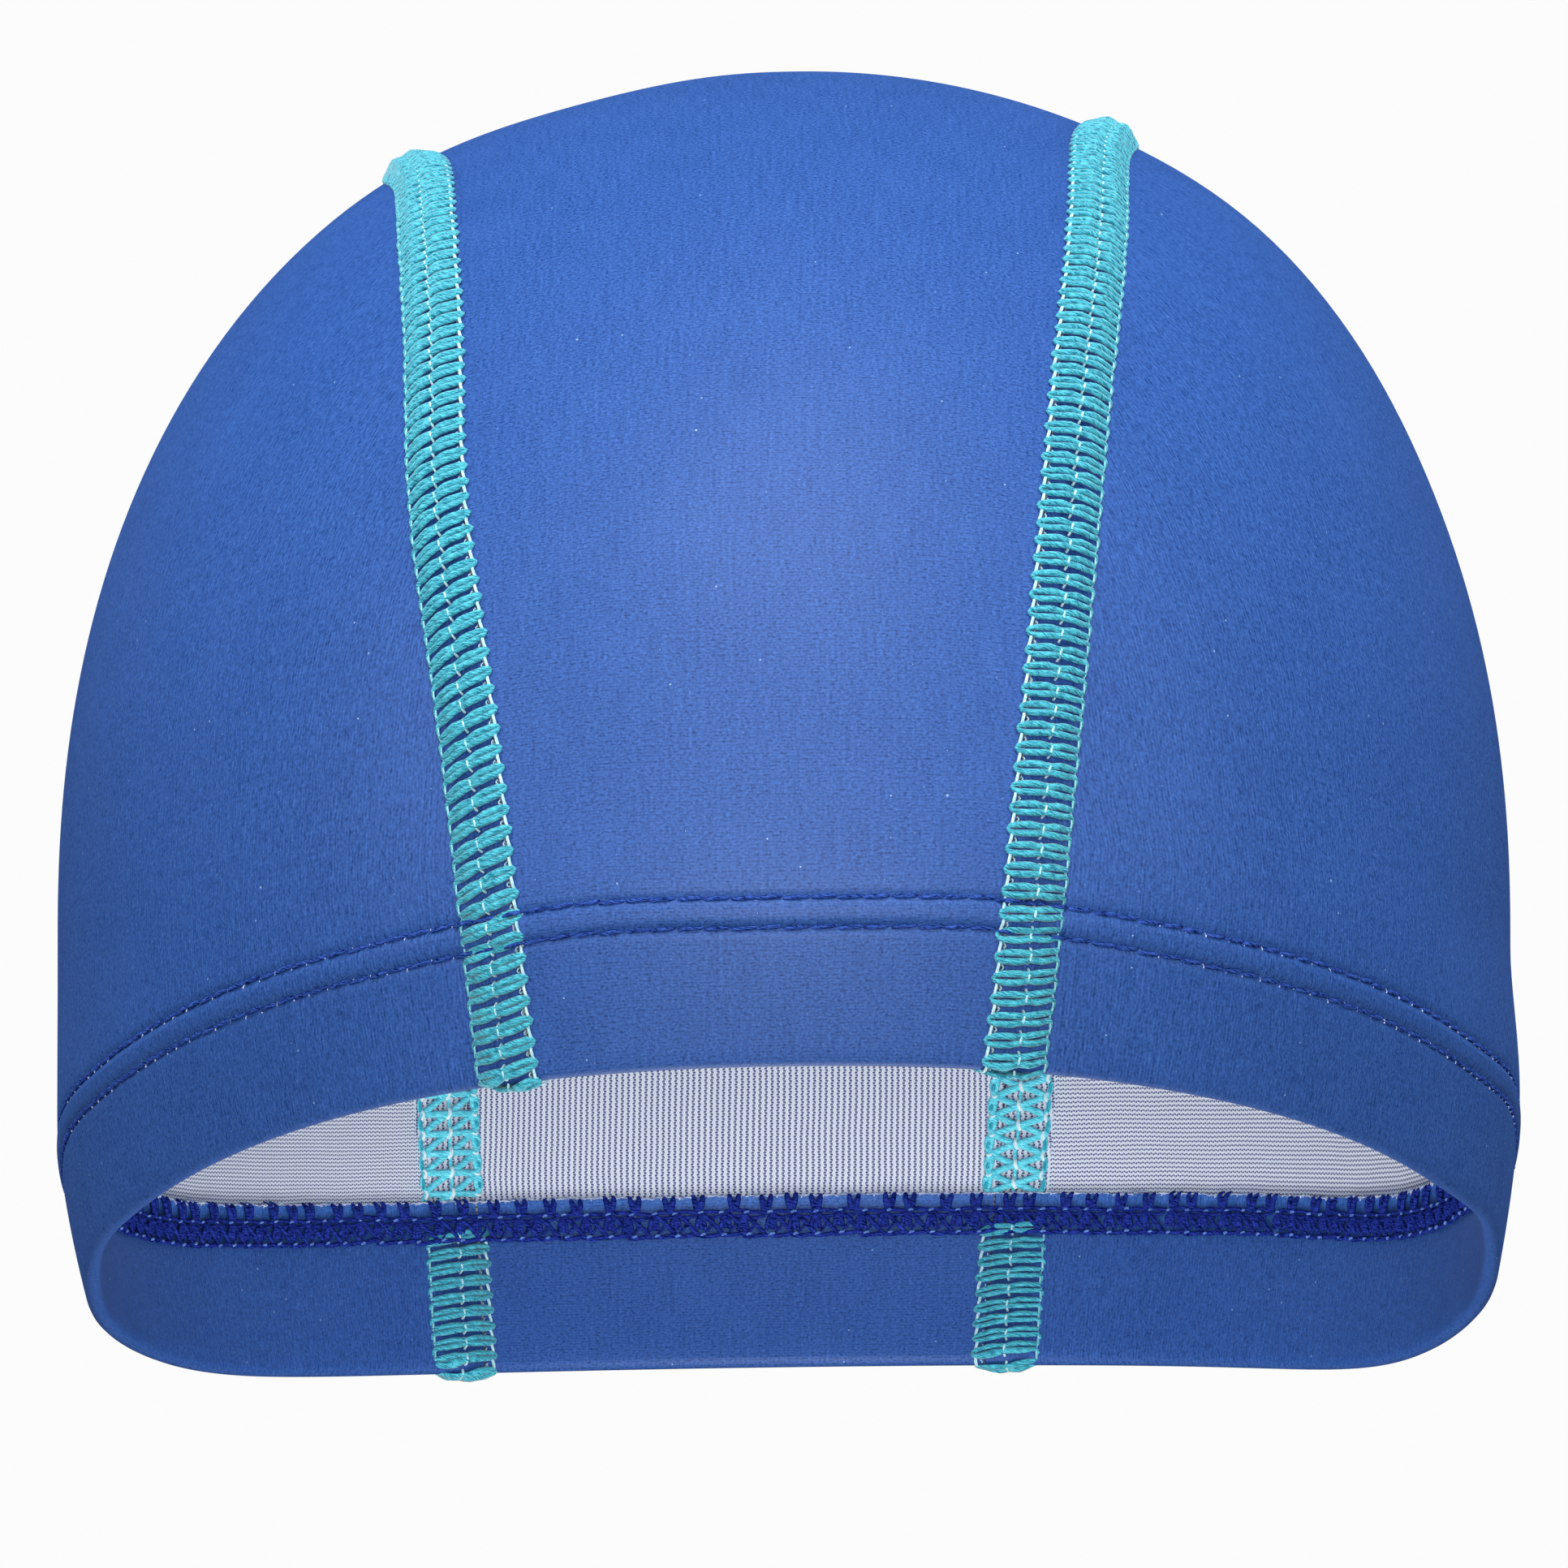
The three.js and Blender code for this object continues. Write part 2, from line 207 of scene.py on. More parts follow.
# %% [markdown]
# ## Camera, floor and light
# The photograph is taken level, from straight in front and from far away, so the camera stands
# 1.6 m off with a long lens. The floor is a wide pale disc far below. The light is soft: one large
# lamp level with the camera, one high in front, one above, and pairs at the sides and behind. A
# small reflector under the opening throws a little light up into the cap. The background is white.

# %% Camera
PHOTO_PIXELS = 1932
PIXELS_PER_MM = 11.1
CAMERA_DISTANCE = 1.6
CAMERA_HEIGHT = 29.6 * MM
SENSOR = 36.0
view_width = PHOTO_PIXELS / PIXELS_PER_MM * MM
bpy.ops.object.camera_add(location=(0, -CAMERA_DISTANCE, CAMERA_HEIGHT), rotation=(math.pi / 2, 0, 0))
camera = bpy.context.object
camera.name = "camera"
camera.data.sensor_width = SENSOR
camera.data.lens = SENSOR * CAMERA_DISTANCE / view_width
bpy.context.scene.camera = camera
print("lens", round(camera.data.lens), "mm")


# %% Material helpers
def new_material(name):
    material = bpy.data.materials.new(name)
    material.use_nodes = True
    return material


def feed(value, socket):
    """Links an input to another node's output, or sets it to a value."""
    if isinstance(value, bpy.types.NodeSocket):
        socket.id_data.links.new(value, socket)
    else:
        socket.default_value = value


def feed_by_name(made, **inputs):
    for name, value in inputs.items():
        feed(value, made.inputs[name.replace("_", " ")])


def node(tree, kind, settings=(), **inputs):
    """Outputs of a new node with its settings, and its inputs by name with _ for spaces."""
    made = tree.nodes.new("ShaderNode" + kind)
    for name, value in dict(settings).items():
        setattr(made, name, value)
    feed_by_name(made, **inputs)
    return made.outputs


def maths(operation, *values):
    """Works on numbers and outputs of one tree, where the new node goes too."""
    tree = next(value.id_data for value in values if isinstance(value, bpy.types.NodeSocket))
    result = node(tree, "Math", {"operation": operation})[0]
    for value, socket in zip(values, result.node.inputs):
        feed(value, socket)
    return result


def shader(material, **inputs):
    """Sets inputs of the material's main shader."""
    feed_by_name(material.node_tree.nodes["Principled BSDF"], **inputs)
    print(material.name, "has", len(material.node_tree.nodes), "nodes")


# %% Floor and lights
FLOOR_DEPTH, FLOOR_RADIUS = 3.2, 14
bpy.ops.mesh.primitive_circle_add(vertices=96, radius=FLOOR_RADIUS, fill_type="NGON",
                                  location=(0, 0, -FLOOR_DEPTH))
floor = bpy.context.object
floor.name = "floor"
floor_paint = new_material("floor_paint")
shader(floor_paint, Base_Color=(0.86, 0.86, 0.86, 1), Roughness=0.9)
floor.data.materials.append(floor_paint)
floor.visible_glossy = False


def soft_lamp(name, place, size, watts):
    """A round lamp that looks at the middle of the head opening."""
    bpy.ops.object.light_add(type="AREA", location=place)
    lamp = bpy.context.object
    lamp.name = name
    lamp.data.shape = "DISK"
    lamp.data.size = size
    lamp.data.energy = watts
    lamp.rotation_euler = (-Vector(place)).to_track_quat("-Z", "Y").to_euler()
    lamp.visible_camera = False
    return lamp


soft_lamp("level_lamp", (0.0, -1.9, 0.05), 1.2, 31.5)
soft_lamp("high_lamp", (0.0, -1.0, 1.75), 1.0, 28)
soft_lamp("top_lamp", (0.0, 0.3, 1.95), 1.0, 30).visible_glossy = False
SIDES = ((-1, "left"), (1, "right"))
for (side, name), watts in zip(SIDES, (9, 7)):
    soft_lamp(name + "_front_lamp", (1.7 * side, -0.9, 0.9), 0.9, watts)
    soft_lamp(name + "_rear_lamp", (1.5 * side, 1.3, 0.5), 0.9, 34).visible_glossy = False
soft_lamp("reflector", (0.0, -0.045, -0.11), 0.10, 0.155)

# %% White background that lights the cap softly and hardly shines on it
SEEN, LIT, SHINE = 0.92, 0.12, 0.05
world = bpy.data.worlds.new("tent")
world.use_nodes = True
bpy.context.scene.world = world
ray = node(world.node_tree, "LightPath")
strength = maths("MULTIPLY_ADD", ray["Is Diffuse Ray"], LIT, SHINE)
strength = maths("MULTIPLY_ADD", ray["Is Camera Ray"], SEEN, strength)
feed_by_name(world.node_tree.nodes["Background"], Strength=strength, Color=(1, 1, 1, 1))
bpy.context.scene.view_settings.view_transform = "Standard"
print("background", SEEN, "seen,", LIT, "lighting,", SHINE, "shining")

# %% [markdown]
# ## The coated cloth
# The outside is a fine knit under a thin coat: satin, mid blue, with the knit's lines just showing
# and a few specks of lint. The inside is the bare knit, pale ribs with dark dots between them where
# the blue shows through. Both are patterns of lines and dots worked out from the cloth's own flat
# coordinates, in millimetres, which are stored as its UV map, so they follow the cloth round the head.


# %% Pattern helpers on the cloth's flat coordinates
def flat_coordinates(material):
    places = node(material.node_tree, "UVMap", {"uv_map": "UVMap"})[0]
    return tuple(node(material.node_tree, "SeparateXYZ", Vector=places))[:2]


def stripes(coordinate, pitch, phase=0.0):
    """Smooth stripes from 0 to 1, one for each pitch in millimetres."""
    angle = maths("MULTIPLY_ADD", coordinate, 2 * math.pi / pitch, phase)
    return maths("MULTIPLY_ADD", maths("SINE", angle), 0.5, 0.5)


def flat_noise(u, v, u_size, v_size, detail=2.0):
    """Noise whose grains are about u_size by v_size millimetres on the flat cloth."""
    place = node(u.id_data, "CombineXYZ", X=maths("DIVIDE", u, u_size), Y=maths("DIVIDE", v, v_size))[0]
    return node(u.id_data, "TexNoise", Vector=place, Scale=1.0, Detail=detail)["Fac"]


def between(value, low, high, rise="SMOOTHSTEP"):
    """0 below low, 1 above high, and a smooth or linear rise between them."""
    settings = {"interpolation_type": rise}
    return node(value.id_data, "MapRange", settings, Value=value, From_Min=low, From_Max=high)["Result"]


def two_colours(share, first, second, way="MIX"):
    """Goes from the first colour to the second as the share goes from 0 to 1."""
    first, second = ((*c, 1) if isinstance(c, tuple) else c for c in (first, second))
    settings = {"data_type": "RGBA", "blend_type": way}
    return node(share.id_data, "Mix", settings, Factor=share, A=first, B=second)["Result"]


def layered(base, *layers):
    """The base with each layer added, times its weight."""
    for layer, weight in layers:
        base = maths("MULTIPLY_ADD", layer, weight, base)
    return base


def bump(height, strength, distance):
    return node(height.id_data, "Bump", Strength=strength, Distance=distance, Height=height)[0]


# %% Outer face: satin coat over fine knit lines
COAT_DARK, COAT_LIGHT = (0.002, 0.029, 0.150), (0.040, 0.122, 0.415)
MEAN_KNIT = 0.935
# Painted highlight: how near a raw edge the coat is fully lightened, where the lightening ends, and by how
# much.
PAINTED_HIGHLIGHT_FULL, PAINTED_HIGHLIGHT_GONE, PAINTED_HIGHLIGHT_TINT = 0.4, 1.9, (1.7, 1.6, 1.45)
LINT_FROM, LINT_TO, LINT_COLOUR = 0.875, 0.89, (0.24, 0.36, 0.58)


def coated_face(name, lines_along_u, line_pitch, dash_length, painted_highlight_edges):
    """The last argument gives the places along v where the cloth was cut. Beside them the coat is painted
    paler: a painted highlight for the lit top of the turned-up strip.
    """
    material = new_material(name)
    u, v = flat_coordinates(material)
    along, across = (u, v) if lines_along_u else (v, u)
    sway = flat_noise(u, v, 0.7, 0.7, 0.0)
    lines = stripes(layered(across, (sway, 0.4 * line_pitch)), line_pitch)
    dashes = flat_noise(along, across, dash_length, 0.65 * line_pitch, 1.0)
    grain = flat_noise(u, v, 0.32, 0.34, 1.0)
    wales = flat_noise(u, v, 0.5, 7.0, 1.0)
    cloud = flat_noise(u, v, 12.0, 12.0, 2.0)
    knit = layered(dashes, (lines, 0.15), (grain, 1.2))
    tone = layered(maths("SUBTRACT", knit, MEAN_KNIT), (wales, 0.35), (cloud, 0.15))
    colour = two_colours(tone, COAT_DARK, COAT_LIGHT)
    # Painted highlight: the coat is lightened near each raw edge, where the top of the turned-up strip
    # catches the light.
    for edge in painted_highlight_edges:
        away = maths("ABSOLUTE", maths("SUBTRACT", v, edge))
        near = between(maths("MULTIPLY", away, -1.0), -PAINTED_HIGHLIGHT_GONE, -PAINTED_HIGHLIGHT_FULL)
        colour = two_colours(near, colour, PAINTED_HIGHLIGHT_TINT, "MULTIPLY")
    specks = flat_noise(u, v, 0.5, 0.5, 0.0)
    lint = between(specks, LINT_FROM, LINT_TO, "LINEAR")
    colour = two_colours(lint, colour, LINT_COLOUR)
    shader(material, Base_Color=colour, Roughness=0.55, Normal=bump(knit, 0.3, 0.00005),
           Specular_IOR_Level=0.34)
    return material


# %% Inner face: pale ribs and dark dots
DOT_PITCH = 0.31
LINING_PALE, LINING_DARK = (0.75, 0.79, 0.87), (0.020, 0.030, 0.16)


def lining_face(name, ribs_along_u, rib_pitch):
    """Dark valleys with dots in them, and a faint parting along the top of each rib."""
    material = new_material(name)
    u, v = flat_coordinates(material)
    along, across = (u, v) if ribs_along_u else (v, u)
    wander = flat_noise(u, v, 9.0, 9.0)
    zigzag = maths("MULTIPLY", stripes(along, 2 * DOT_PITCH), 0.14)
    across = maths("ADD", layered(across, (wander, 0.35)), zigzag)
    dots = stripes(along, DOT_PITCH)
    valley = between(stripes(across, rib_pitch), 0.40, 0.80)
    dark = maths("MULTIPLY", valley, maths("MULTIPLY_ADD", dots, 0.62, 0.44))
    parting = between(stripes(across, rib_pitch, math.pi), 0.9, 1.0)
    loops = maths("MULTIPLY", parting, maths("MULTIPLY_ADD", dots, -0.18, 0.24))
    shade = maths("ADD", dark, loops)
    colour = two_colours(shade, LINING_PALE, LINING_DARK)
    height = maths("MULTIPLY", shade, -1.0)
    shader(material, Base_Color=colour, Roughness=0.85, Normal=bump(height, 0.4, 0.0001),
           Specular_IOR_Level=0.1)
    return material


# %% [markdown]
# ## Laying a panel on the head
# A panel starts as a flat blank: a grid with as many squares as the cloth needs. Each corner of the
# blank is then laid on the form, first the strip turned up inside the rim, then round the fold, and
# up the outside. The hem has two stitched lines, where the cloth is pulled in, with a soft ridge
# between them. Solidify gives the sheet its thickness and puts the lining on its other face.

# %% Profile of the turned-up hem
CLOTH = 0.9
PLY_GAP = 0.1
HEM_DEPTH = 20.0
NEEDLE_LINES = (15.2, 18.4)
FOLD_RADIUS = CLOTH + PLY_GAP / 2
ROWS_INSIDE, ROWS_ROUND_FOLD = 14, 9
LOWEST_INSIDE = 2.5
PLAIN_HEIGHTS = (2.2, 3.6, 5.2, 7.0, 8.8, 10.4, 11.4)
STITCHED_FROM, STITCHED_TO, STITCHED_STEP = 12.0, 21.4, 0.38


def hem_profile():
    """Rows of the hem from the raw edge inside to just above the stitching outside: height, offset."""
    inside = [(height, -2 * FOLD_RADIUS) for height in np.linspace(HEM_DEPTH, LOWEST_INSIDE, ROWS_INSIDE)]
    fold = [(FOLD_RADIUS * (1 - math.sin(turn)), -FOLD_RADIUS * (1 + math.cos(turn)))
            for turn in np.linspace(0, math.pi, ROWS_ROUND_FOLD)]
    stitched = np.arange(STITCHED_FROM, STITCHED_TO, STITCHED_STEP)
    outside = [(height, 0.0) for height in (*PLAIN_HEIGHTS, *stitched)]
    return np.array(inside + fold + outside)


HEM = hem_profile()
FOLD_ROW = ROWS_INSIDE + ROWS_ROUND_FOLD // 2
PLAIN_ROW = [[HEM[-1, 0] + 10, 0.0]]  # height and offset of a row clear of the stitching
print("hem rows:", len(HEM), "top row at", HEM[-1, 0].round(1), "mm")

# %% Relief of the hem's stitching
DROP_AT_BROW, DROP_AT_TEMPLES = 0.6, 1.6
DROP_X_FROM, DROP_X_TO, DROP_Y_FROM, DROP_Y_TO = 8, 52, 10, 70
LINE_DEPTH, LINE_WIDTH = 0.38, 0.42
RIDGE_HEIGHT, RIDGE_WIDTH = 0.26, 1.2


def stitch_drop(points):
    """How far the stitching lies below its height at the nape: less at the brow, more at the temples."""
    drop = DROP_AT_BROW + DROP_AT_TEMPLES * smooth_step(np.abs(points[..., 0]), DROP_X_FROM, DROP_X_TO)
    return drop * (1 - smooth_step(points[..., 1], DROP_Y_FROM, DROP_Y_TO))


def stitch_relief(height):
    """The needle lines sink into the cloth and the strip between them swells."""
    low, high = NEEDLE_LINES
    sunk = sum(bell(height, line, LINE_WIDTH) for line in NEEDLE_LINES)
    swollen = np.exp(-((height - (low + high) / 2) / RIDGE_WIDTH) ** 4)
    return RIDGE_HEIGHT * swollen - LINE_DEPTH * sunk


print("needle lines", -LINE_DEPTH, "mm and ridge", RIDGE_HEIGHT, "mm")

# %% Seam lines between the panels
SEAM_HALF_GAP_BROW, SEAM_HALF_GAP_CROWN, SEAM_HALF_GAP_NAPE = 26.6, 38.2, 32.3
SEAM_SHIFT_BROW, SEAM_SHIFT_NAPE = -2.5, -5.95
SEAM_ANGLE_BROW, SEAM_ANGLE_CROWN, SEAM_ANGLE_NAPE = -8.0, 110.0, 214.0
SEAM_STRAY, SEAM_STRAY_WIDTH = {-1: (30.0, -1.2), 1: (55.0, 0.45)}, 13.0
CROWN_FLARE = {-1: 1.4, 1: 1.1}
FLARE_FROM, FLARE_FULL, FLARE_KEPT, FLARE_GONE = 72.0, 86.0, 105.0, 170.0
EDGE_SHIFT, EDGE_GAP = 2.6, 0.11
BROW_SEARCH, NAPE_SEARCH = (-30.0, 40.0), (240.0, 150.0)


def seam_x(side, over):
    """Sideways place of a seam at an angle over the head. Both stray, and stand apart at the crown."""
    front = over < SEAM_ANGLE_CROWN
    end = np.where(front, SEAM_ANGLE_BROW, SEAM_ANGLE_NAPE)
    end_gap = np.where(front, SEAM_HALF_GAP_BROW, SEAM_HALF_GAP_NAPE)
    share = (over - SEAM_ANGLE_CROWN) / (end - SEAM_ANGLE_CROWN)
    flare = smooth_step(over, FLARE_FROM, FLARE_FULL) * (1 - smooth_step(over, FLARE_KEPT, FLARE_GONE))
    half_gap = mix(SEAM_HALF_GAP_CROWN, end_gap, share ** 2) + CROWN_FLARE[side] * flare
    middle, stray = SEAM_STRAY[side]
    shift = mix(SEAM_SHIFT_BROW, SEAM_SHIFT_NAPE, smooth_step(over, 90, SEAM_ANGLE_NAPE))
    return shift + stray * bell(over, middle, SEAM_STRAY_WIDTH) + side * half_gap


def angle_over(points):
    """Angle over the head of points on it, from ahead round to behind."""
    over = np.degrees(np.arctan2(points[:, 2] - WIDEST_Z, WIDEST_Y - points[:, 1]))
    return np.where(over < -90, over + 360, over)


def ends_at_height(x_at, height):
    """Angles over the head, at brow and nape, where the line x_at(over) lies that far above the rim."""
    return [crossing(low, high, np.shape(height),
                     lambda over: height_above_rim(over_point(x_at(over), over)) > height)
            for low, high in (BROW_SEARCH, NAPE_SEARCH)]


for side, name in SIDES:
    print(name, "seam at", [round(float(seam_x(side, np.array(over))), 1) for over in (0, 90, 180)], "mm")


# %% Meshes as arrays
def values_of(items, what, width=1, kind=float):
    """A value, or a row of a width, for each vertex, corner or face."""
    values = np.empty(len(items) * width, kind)
    items.foreach_get(what, values)
    return values.reshape(-1, width).squeeze()


def run_along(points, axis=0):
    """Length run from the first point on, along the rows or columns."""
    steps = np.diff(points, axis=axis, prepend=points.take([0], axis))
    return np.cumsum(np.linalg.norm(steps, axis=-1), axis=axis)


def store_flat_places(mesh, places):
    """Stores a flat place for each vertex as the mesh's UV map."""
    mesh.uv_layers[0].name = "UVMap"
    corner_places = places[values_of(mesh.loops, "vertex_index", kind=int)]
    mesh.uv_layers[0].uv.foreach_set("vector", corner_places.ravel())


def select(pieces):
    bpy.ops.object.select_all(action="DESELECT")
    for piece in pieces:
        piece.select_set(True)
    bpy.context.view_layer.objects.active = pieces[0]


def edit_all_faces(change, **settings):
    bpy.ops.object.mode_set(mode="EDIT")
    bpy.ops.mesh.select_all(action="SELECT")
    change(**settings)
    bpy.ops.object.mode_set(mode="OBJECT")


def face_out(blank, points, normals):
    """Turns all faces over if the middle of the sheet faces into the head."""
    middle = points.shape[0] // 2, points.shape[1] // 2
    spot = Vector(points[middle] * MM)
    nearest = min(blank.data.polygons, key=lambda face: (face.center - spot).length)
    if nearest.normal.dot(Vector(normals[middle])) < 0:
        edit_all_faces(bpy.ops.mesh.flip_normals)


# %% Lay a blank on the form
SMOOTH_ANGLE = 50


def lay_blank(name, points, normals, materials, hems):
    """A grid primitive with one corner for each point, made into a sheet with one or two hems."""
    rows, columns = points.shape[:2]
    bpy.ops.mesh.primitive_grid_add(x_subdivisions=columns - 1, y_subdivisions=rows - 1, size=2)
    blank = bpy.context.object
    blank.name = name
    flat = values_of(blank.data.vertices, "co", 3)
    column = np.rint((flat[:, 0] + 1) / 2 * (columns - 1)).astype(int)
    row = np.rint((flat[:, 1] + 1) / 2 * (rows - 1)).astype(int)
    across = run_along(points, 1)
    across = across - across[:, columns // 2, None]
    across[:len(HEM)] = across[len(HEM)]
    if hems == 2:
        across[-len(HEM):] = across[-len(HEM) - 1]
    along = run_along(points)[:, columns // 2]
    blank.data.vertices.foreach_set("co", (points[row, column] * MM).ravel())
    store_flat_places(blank.data, np.stack([across[row, column], along[row]], -1))
    blank.data.update()
    face_out(blank, points, normals)
    for material in materials:
        blank.data.materials.append(material)
    modifier = blank.modifiers.new("thickness", "SOLIDIFY")
    modifier.thickness = CLOTH * MM
    modifier.offset = -1
    modifier.material_offset = 1
    modifier.material_offset_rim = 1
    modifier.use_even_offset = True
    bpy.ops.object.modifier_apply(modifier=modifier.name)
    bpy.ops.object.shade_smooth_by_angle(angle=math.radians(SMOOTH_ANGLE))
    return blank


# %% [markdown]
# ## The centre panel
# Its rows run across from seam to seam and its columns run over the head from brow to nape. Both of
# its ends are turned up, so the hem's profile is used twice.

# %% Centre panel
CENTRE_COLUMNS = 50
CENTRE_DOME_ROWS = 190


def with_profile(points, profile):
    """Moves rows of points of the form by the hem's offsets and its relief."""
    normals = normal_at(points)
    height, offset = profile[:, 0, None], profile[:, 1, None]
    move = offset + np.where(offset == 0, stitch_relief(height + stitch_drop(points)), 0)
    return points + normals * move[..., None], normals


def centre_panel():
    share = np.linspace(0, 1, CENTRE_COLUMNS + 1)

    def x_at(over):
        left, right = (seam_x(side, over) - side * (EDGE_SHIFT + EDGE_GAP) for side in (-1, 1))
        return mix(left, right, share)

    height = np.broadcast_to(HEM[:, 0, None], (len(HEM), len(share)))
    front, back = ends_at_height(x_at, height)
    climb = np.linspace(0, 1, CENTRE_DOME_ROWS + 1)[1:-1, None]
    dome = mix(front[-1], back[-1], climb)
    over = np.concatenate([front, dome, back[::-1]])
    profile = np.concatenate([HEM, PLAIN_ROW * len(climb), HEM[::-1]])
    return with_profile(over_point(x_at(over), over), profile)


points, normals = centre_panel()
length = float(run_along(points[:, CENTRE_COLUMNS // 2])[-1])
coat_crosswise = coated_face("coat_crosswise", True, line_pitch=0.34, dash_length=0.5,
                             painted_highlight_edges=(0.0, length))
lining_lengthwise = lining_face("lining_lengthwise", False, rib_pitch=0.716)
centre_cloth = lay_blank("centre_cloth", points, normals, [coat_crosswise, lining_lengthwise], 2)
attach(centre_cloth, "root")
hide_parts("centre_panel")
print("centre cloth:", len(centre_cloth.data.polygons), "faces")

# %% [markdown]
# ## The side panels
# A side panel is cut like a deep D. Its rows start on the seam at the brow, run round over the ear
# and end on the seam at the nape. They follow the rim below and level out towards the crown, where
# the last row lies on the seam itself.

# %% Side panels
SIDE_COLUMNS = 150
SIDE_DOME_ROWS = 66
SIDE_TOP_SHARE = 0.985
BROW_PART, NAPE_PART = 45.0, 140.0


def direction_to(points, side):
    """Azimuth and lift of points from the middle of the form. Straight out on that side is 0."""
    start = points - FORM_CENTRE
    return np.arctan2(start[..., 1], side * start[..., 0]), np.arctan2(
        start[..., 2], np.hypot(start[..., 0], start[..., 1]))


def point_towards(azimuth, lift, side):
    level = np.cos(lift)
    return cast_out(FORM_CENTRE, np.stack(
        [side * np.cos(azimuth) * level, np.sin(azimuth) * level, np.sin(lift)], -1))


def side_panel(side):
    def x_at(over):
        return seam_x(side, over) - side * (EDGE_SHIFT - EDGE_GAP)

    share = np.linspace(0, 1, SIDE_COLUMNS + 1)
    ends = ends_at_height(x_at, HEM[:, 0])
    turn = [direction_to(over_point(x_at(over), over), side)[0] for over in ends]
    azimuth = mix(turn[0][:, None], turn[1][:, None], share)
    azimuth = azimuth if side > 0 else math.pi - azimuth
    hem = wall_point(azimuth, np.broadcast_to(HEM[:, 0, None], azimuth.shape))
    edge = direction_to(hem[-1], side)[1]
    bend = edge - mix(edge[0], edge[-1], share)
    middle = (ends[0][-1] + ends[1][-1]) / 2
    climb = np.linspace(0, SIDE_TOP_SHARE, SIDE_DOME_ROWS + 1)[1:, None]
    front, back = (mix(end[-1], middle, climb) for end in ends)
    (front_turn, front_lift), (back_turn, back_lift) = (
        direction_to(over_point(x_at(over), over), side) for over in (front, back))
    dome = point_towards(mix(front_turn, back_turn, share),
                         mix(front_lift, back_lift, share) + bend * (1 - climb), side)
    top_reach = (ends[1][-1] - ends[0][-1]) / 2 * (1 - SIDE_TOP_SHARE) * 0.5
    top_over = middle + mix(-top_reach, top_reach, share)
    top = over_point(x_at(top_over), top_over)
    points = np.concatenate([hem, dome, top[None]])
    return with_profile(points, np.concatenate([HEM, PLAIN_ROW * (len(points) - len(HEM))]))


def turn_ribs_along_seam(cloth, side):
    """Inside, the centre panel's edge covers the side panel under the seam, so its ribs show there.

    This is seen at the brow and at the nape only.
    """
    cloth.data.materials.append(lining_lengthwise)
    faces = cloth.data.polygons
    places, kinds = values_of(faces, "center", 3) / MM, values_of(faces, "material_index", kind=int)
    over = angle_over(places)
    near = np.abs(places[:, 0] - seam_x(side, over)) < EDGE_SHIFT
    kinds[(kinds == 1) & near & ((over < BROW_PART) | (over > NAPE_PART))] = 2
    faces.foreach_set("material_index", kinds)
    cloth.data.update()


coat_lengthwise = coated_face("coat_lengthwise", False, line_pitch=0.42, dash_length=1.2, painted_highlight_edges=(0.0,))
LINING_PITCH = {-1: 0.41, 1: 0.47}
for side, name in SIDES:
    lining_crosswise = lining_face("lining_crosswise_" + name, True, LINING_PITCH[side])
    cloth = lay_blank("side_cloth_" + name, *side_panel(side), [coat_lengthwise, lining_crosswise], 1)
    turn_ribs_along_seam(cloth, side)
    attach(cloth, "root")
    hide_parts("side_panel_" + name)
    print(cloth.name, len(cloth.data.polygons), "faces")

# %% [markdown]
# ## Thread
# All the seams are thread, so thread gets its own material and its own way of being made. Each
# stitch is drawn once, flat, at one unit to a millimetre: x across the seam, y along it and z out
# of the cloth. Its flat place is stored as a UV map, so that the fibres run along the thread. An
# array repeats the stitch, and the whole strip is then laid along its path on the cap.


# %% Thread materials
FUZZ_SCALE = 6500


def thread_material(name, dark, light, fibre_across, sheen=0.3):
    """Fluffy thread. Fibres run across the seam on rungs, and along it on the needle threads."""
    material = new_material(name)
    u, v = flat_coordinates(material)
    long_way, short_way = (u, v) if fibre_across else (v, u)
    wave = flat_noise(u, v, 0.9, 0.9, 0.0)
    twisted = layered(short_way, (long_way, 0.2), (wave, 0.5))
    fibres = flat_noise(long_way, twisted, 0.9, 0.12, 1.5)
    place = node(material.node_tree, "TexCoord")["Object"]
    fuzz = node(material.node_tree, "TexNoise", Vector=place, Scale=FUZZ_SCALE)["Fac"]
    tone = layered(maths("MULTIPLY", fibres, 0.75), (fuzz, 0.3))
    colour = two_colours(between(tone, 0.38, 0.66), dark, light)
    shader(material, Base_Color=colour, Roughness=0.8, Normal=bump(tone, 0.7, 0.0002),
           Specular_IOR_Level=sheen / 3, Sheen_Weight=sheen, Sheen_Roughness=0.4)
    return material


looper_yarn = thread_material("looper_yarn", (0.010, 0.15, 0.23), (0.085, 0.51, 0.62), True)
inside_yarn = thread_material("inside_yarn", (0.035, 0.47, 0.60), (0.24, 0.88, 1.0), True)
inside_core = thread_material("inside_core", (0.01, 0.22, 0.31), (0.04, 0.48, 0.60), False)
inside_needle = thread_material("inside_needle", (0.50, 0.80, 0.84), (0.90, 0.98, 1.0), False)
needle_thread = thread_material("needle_thread", (0.20, 0.50, 0.56), (0.62, 0.82, 0.86), False)
edge_thread = thread_material("edge_thread", (0.08, 0.38, 0.46), (0.36, 0.70, 0.74), False)
navy_thread = thread_material("navy_thread", (0.002, 0.010, 0.075), (0.045, 0.11, 0.45), False, 0.0)
navy_yarn = thread_material("navy_yarn", (0.0003, 0.0035, 0.050), (0.026, 0.050, 0.37), False, 0.0)
pale_loop = thread_material("pale_loop", (0.04, 0.11, 0.42), (0.15, 0.31, 0.72), False)


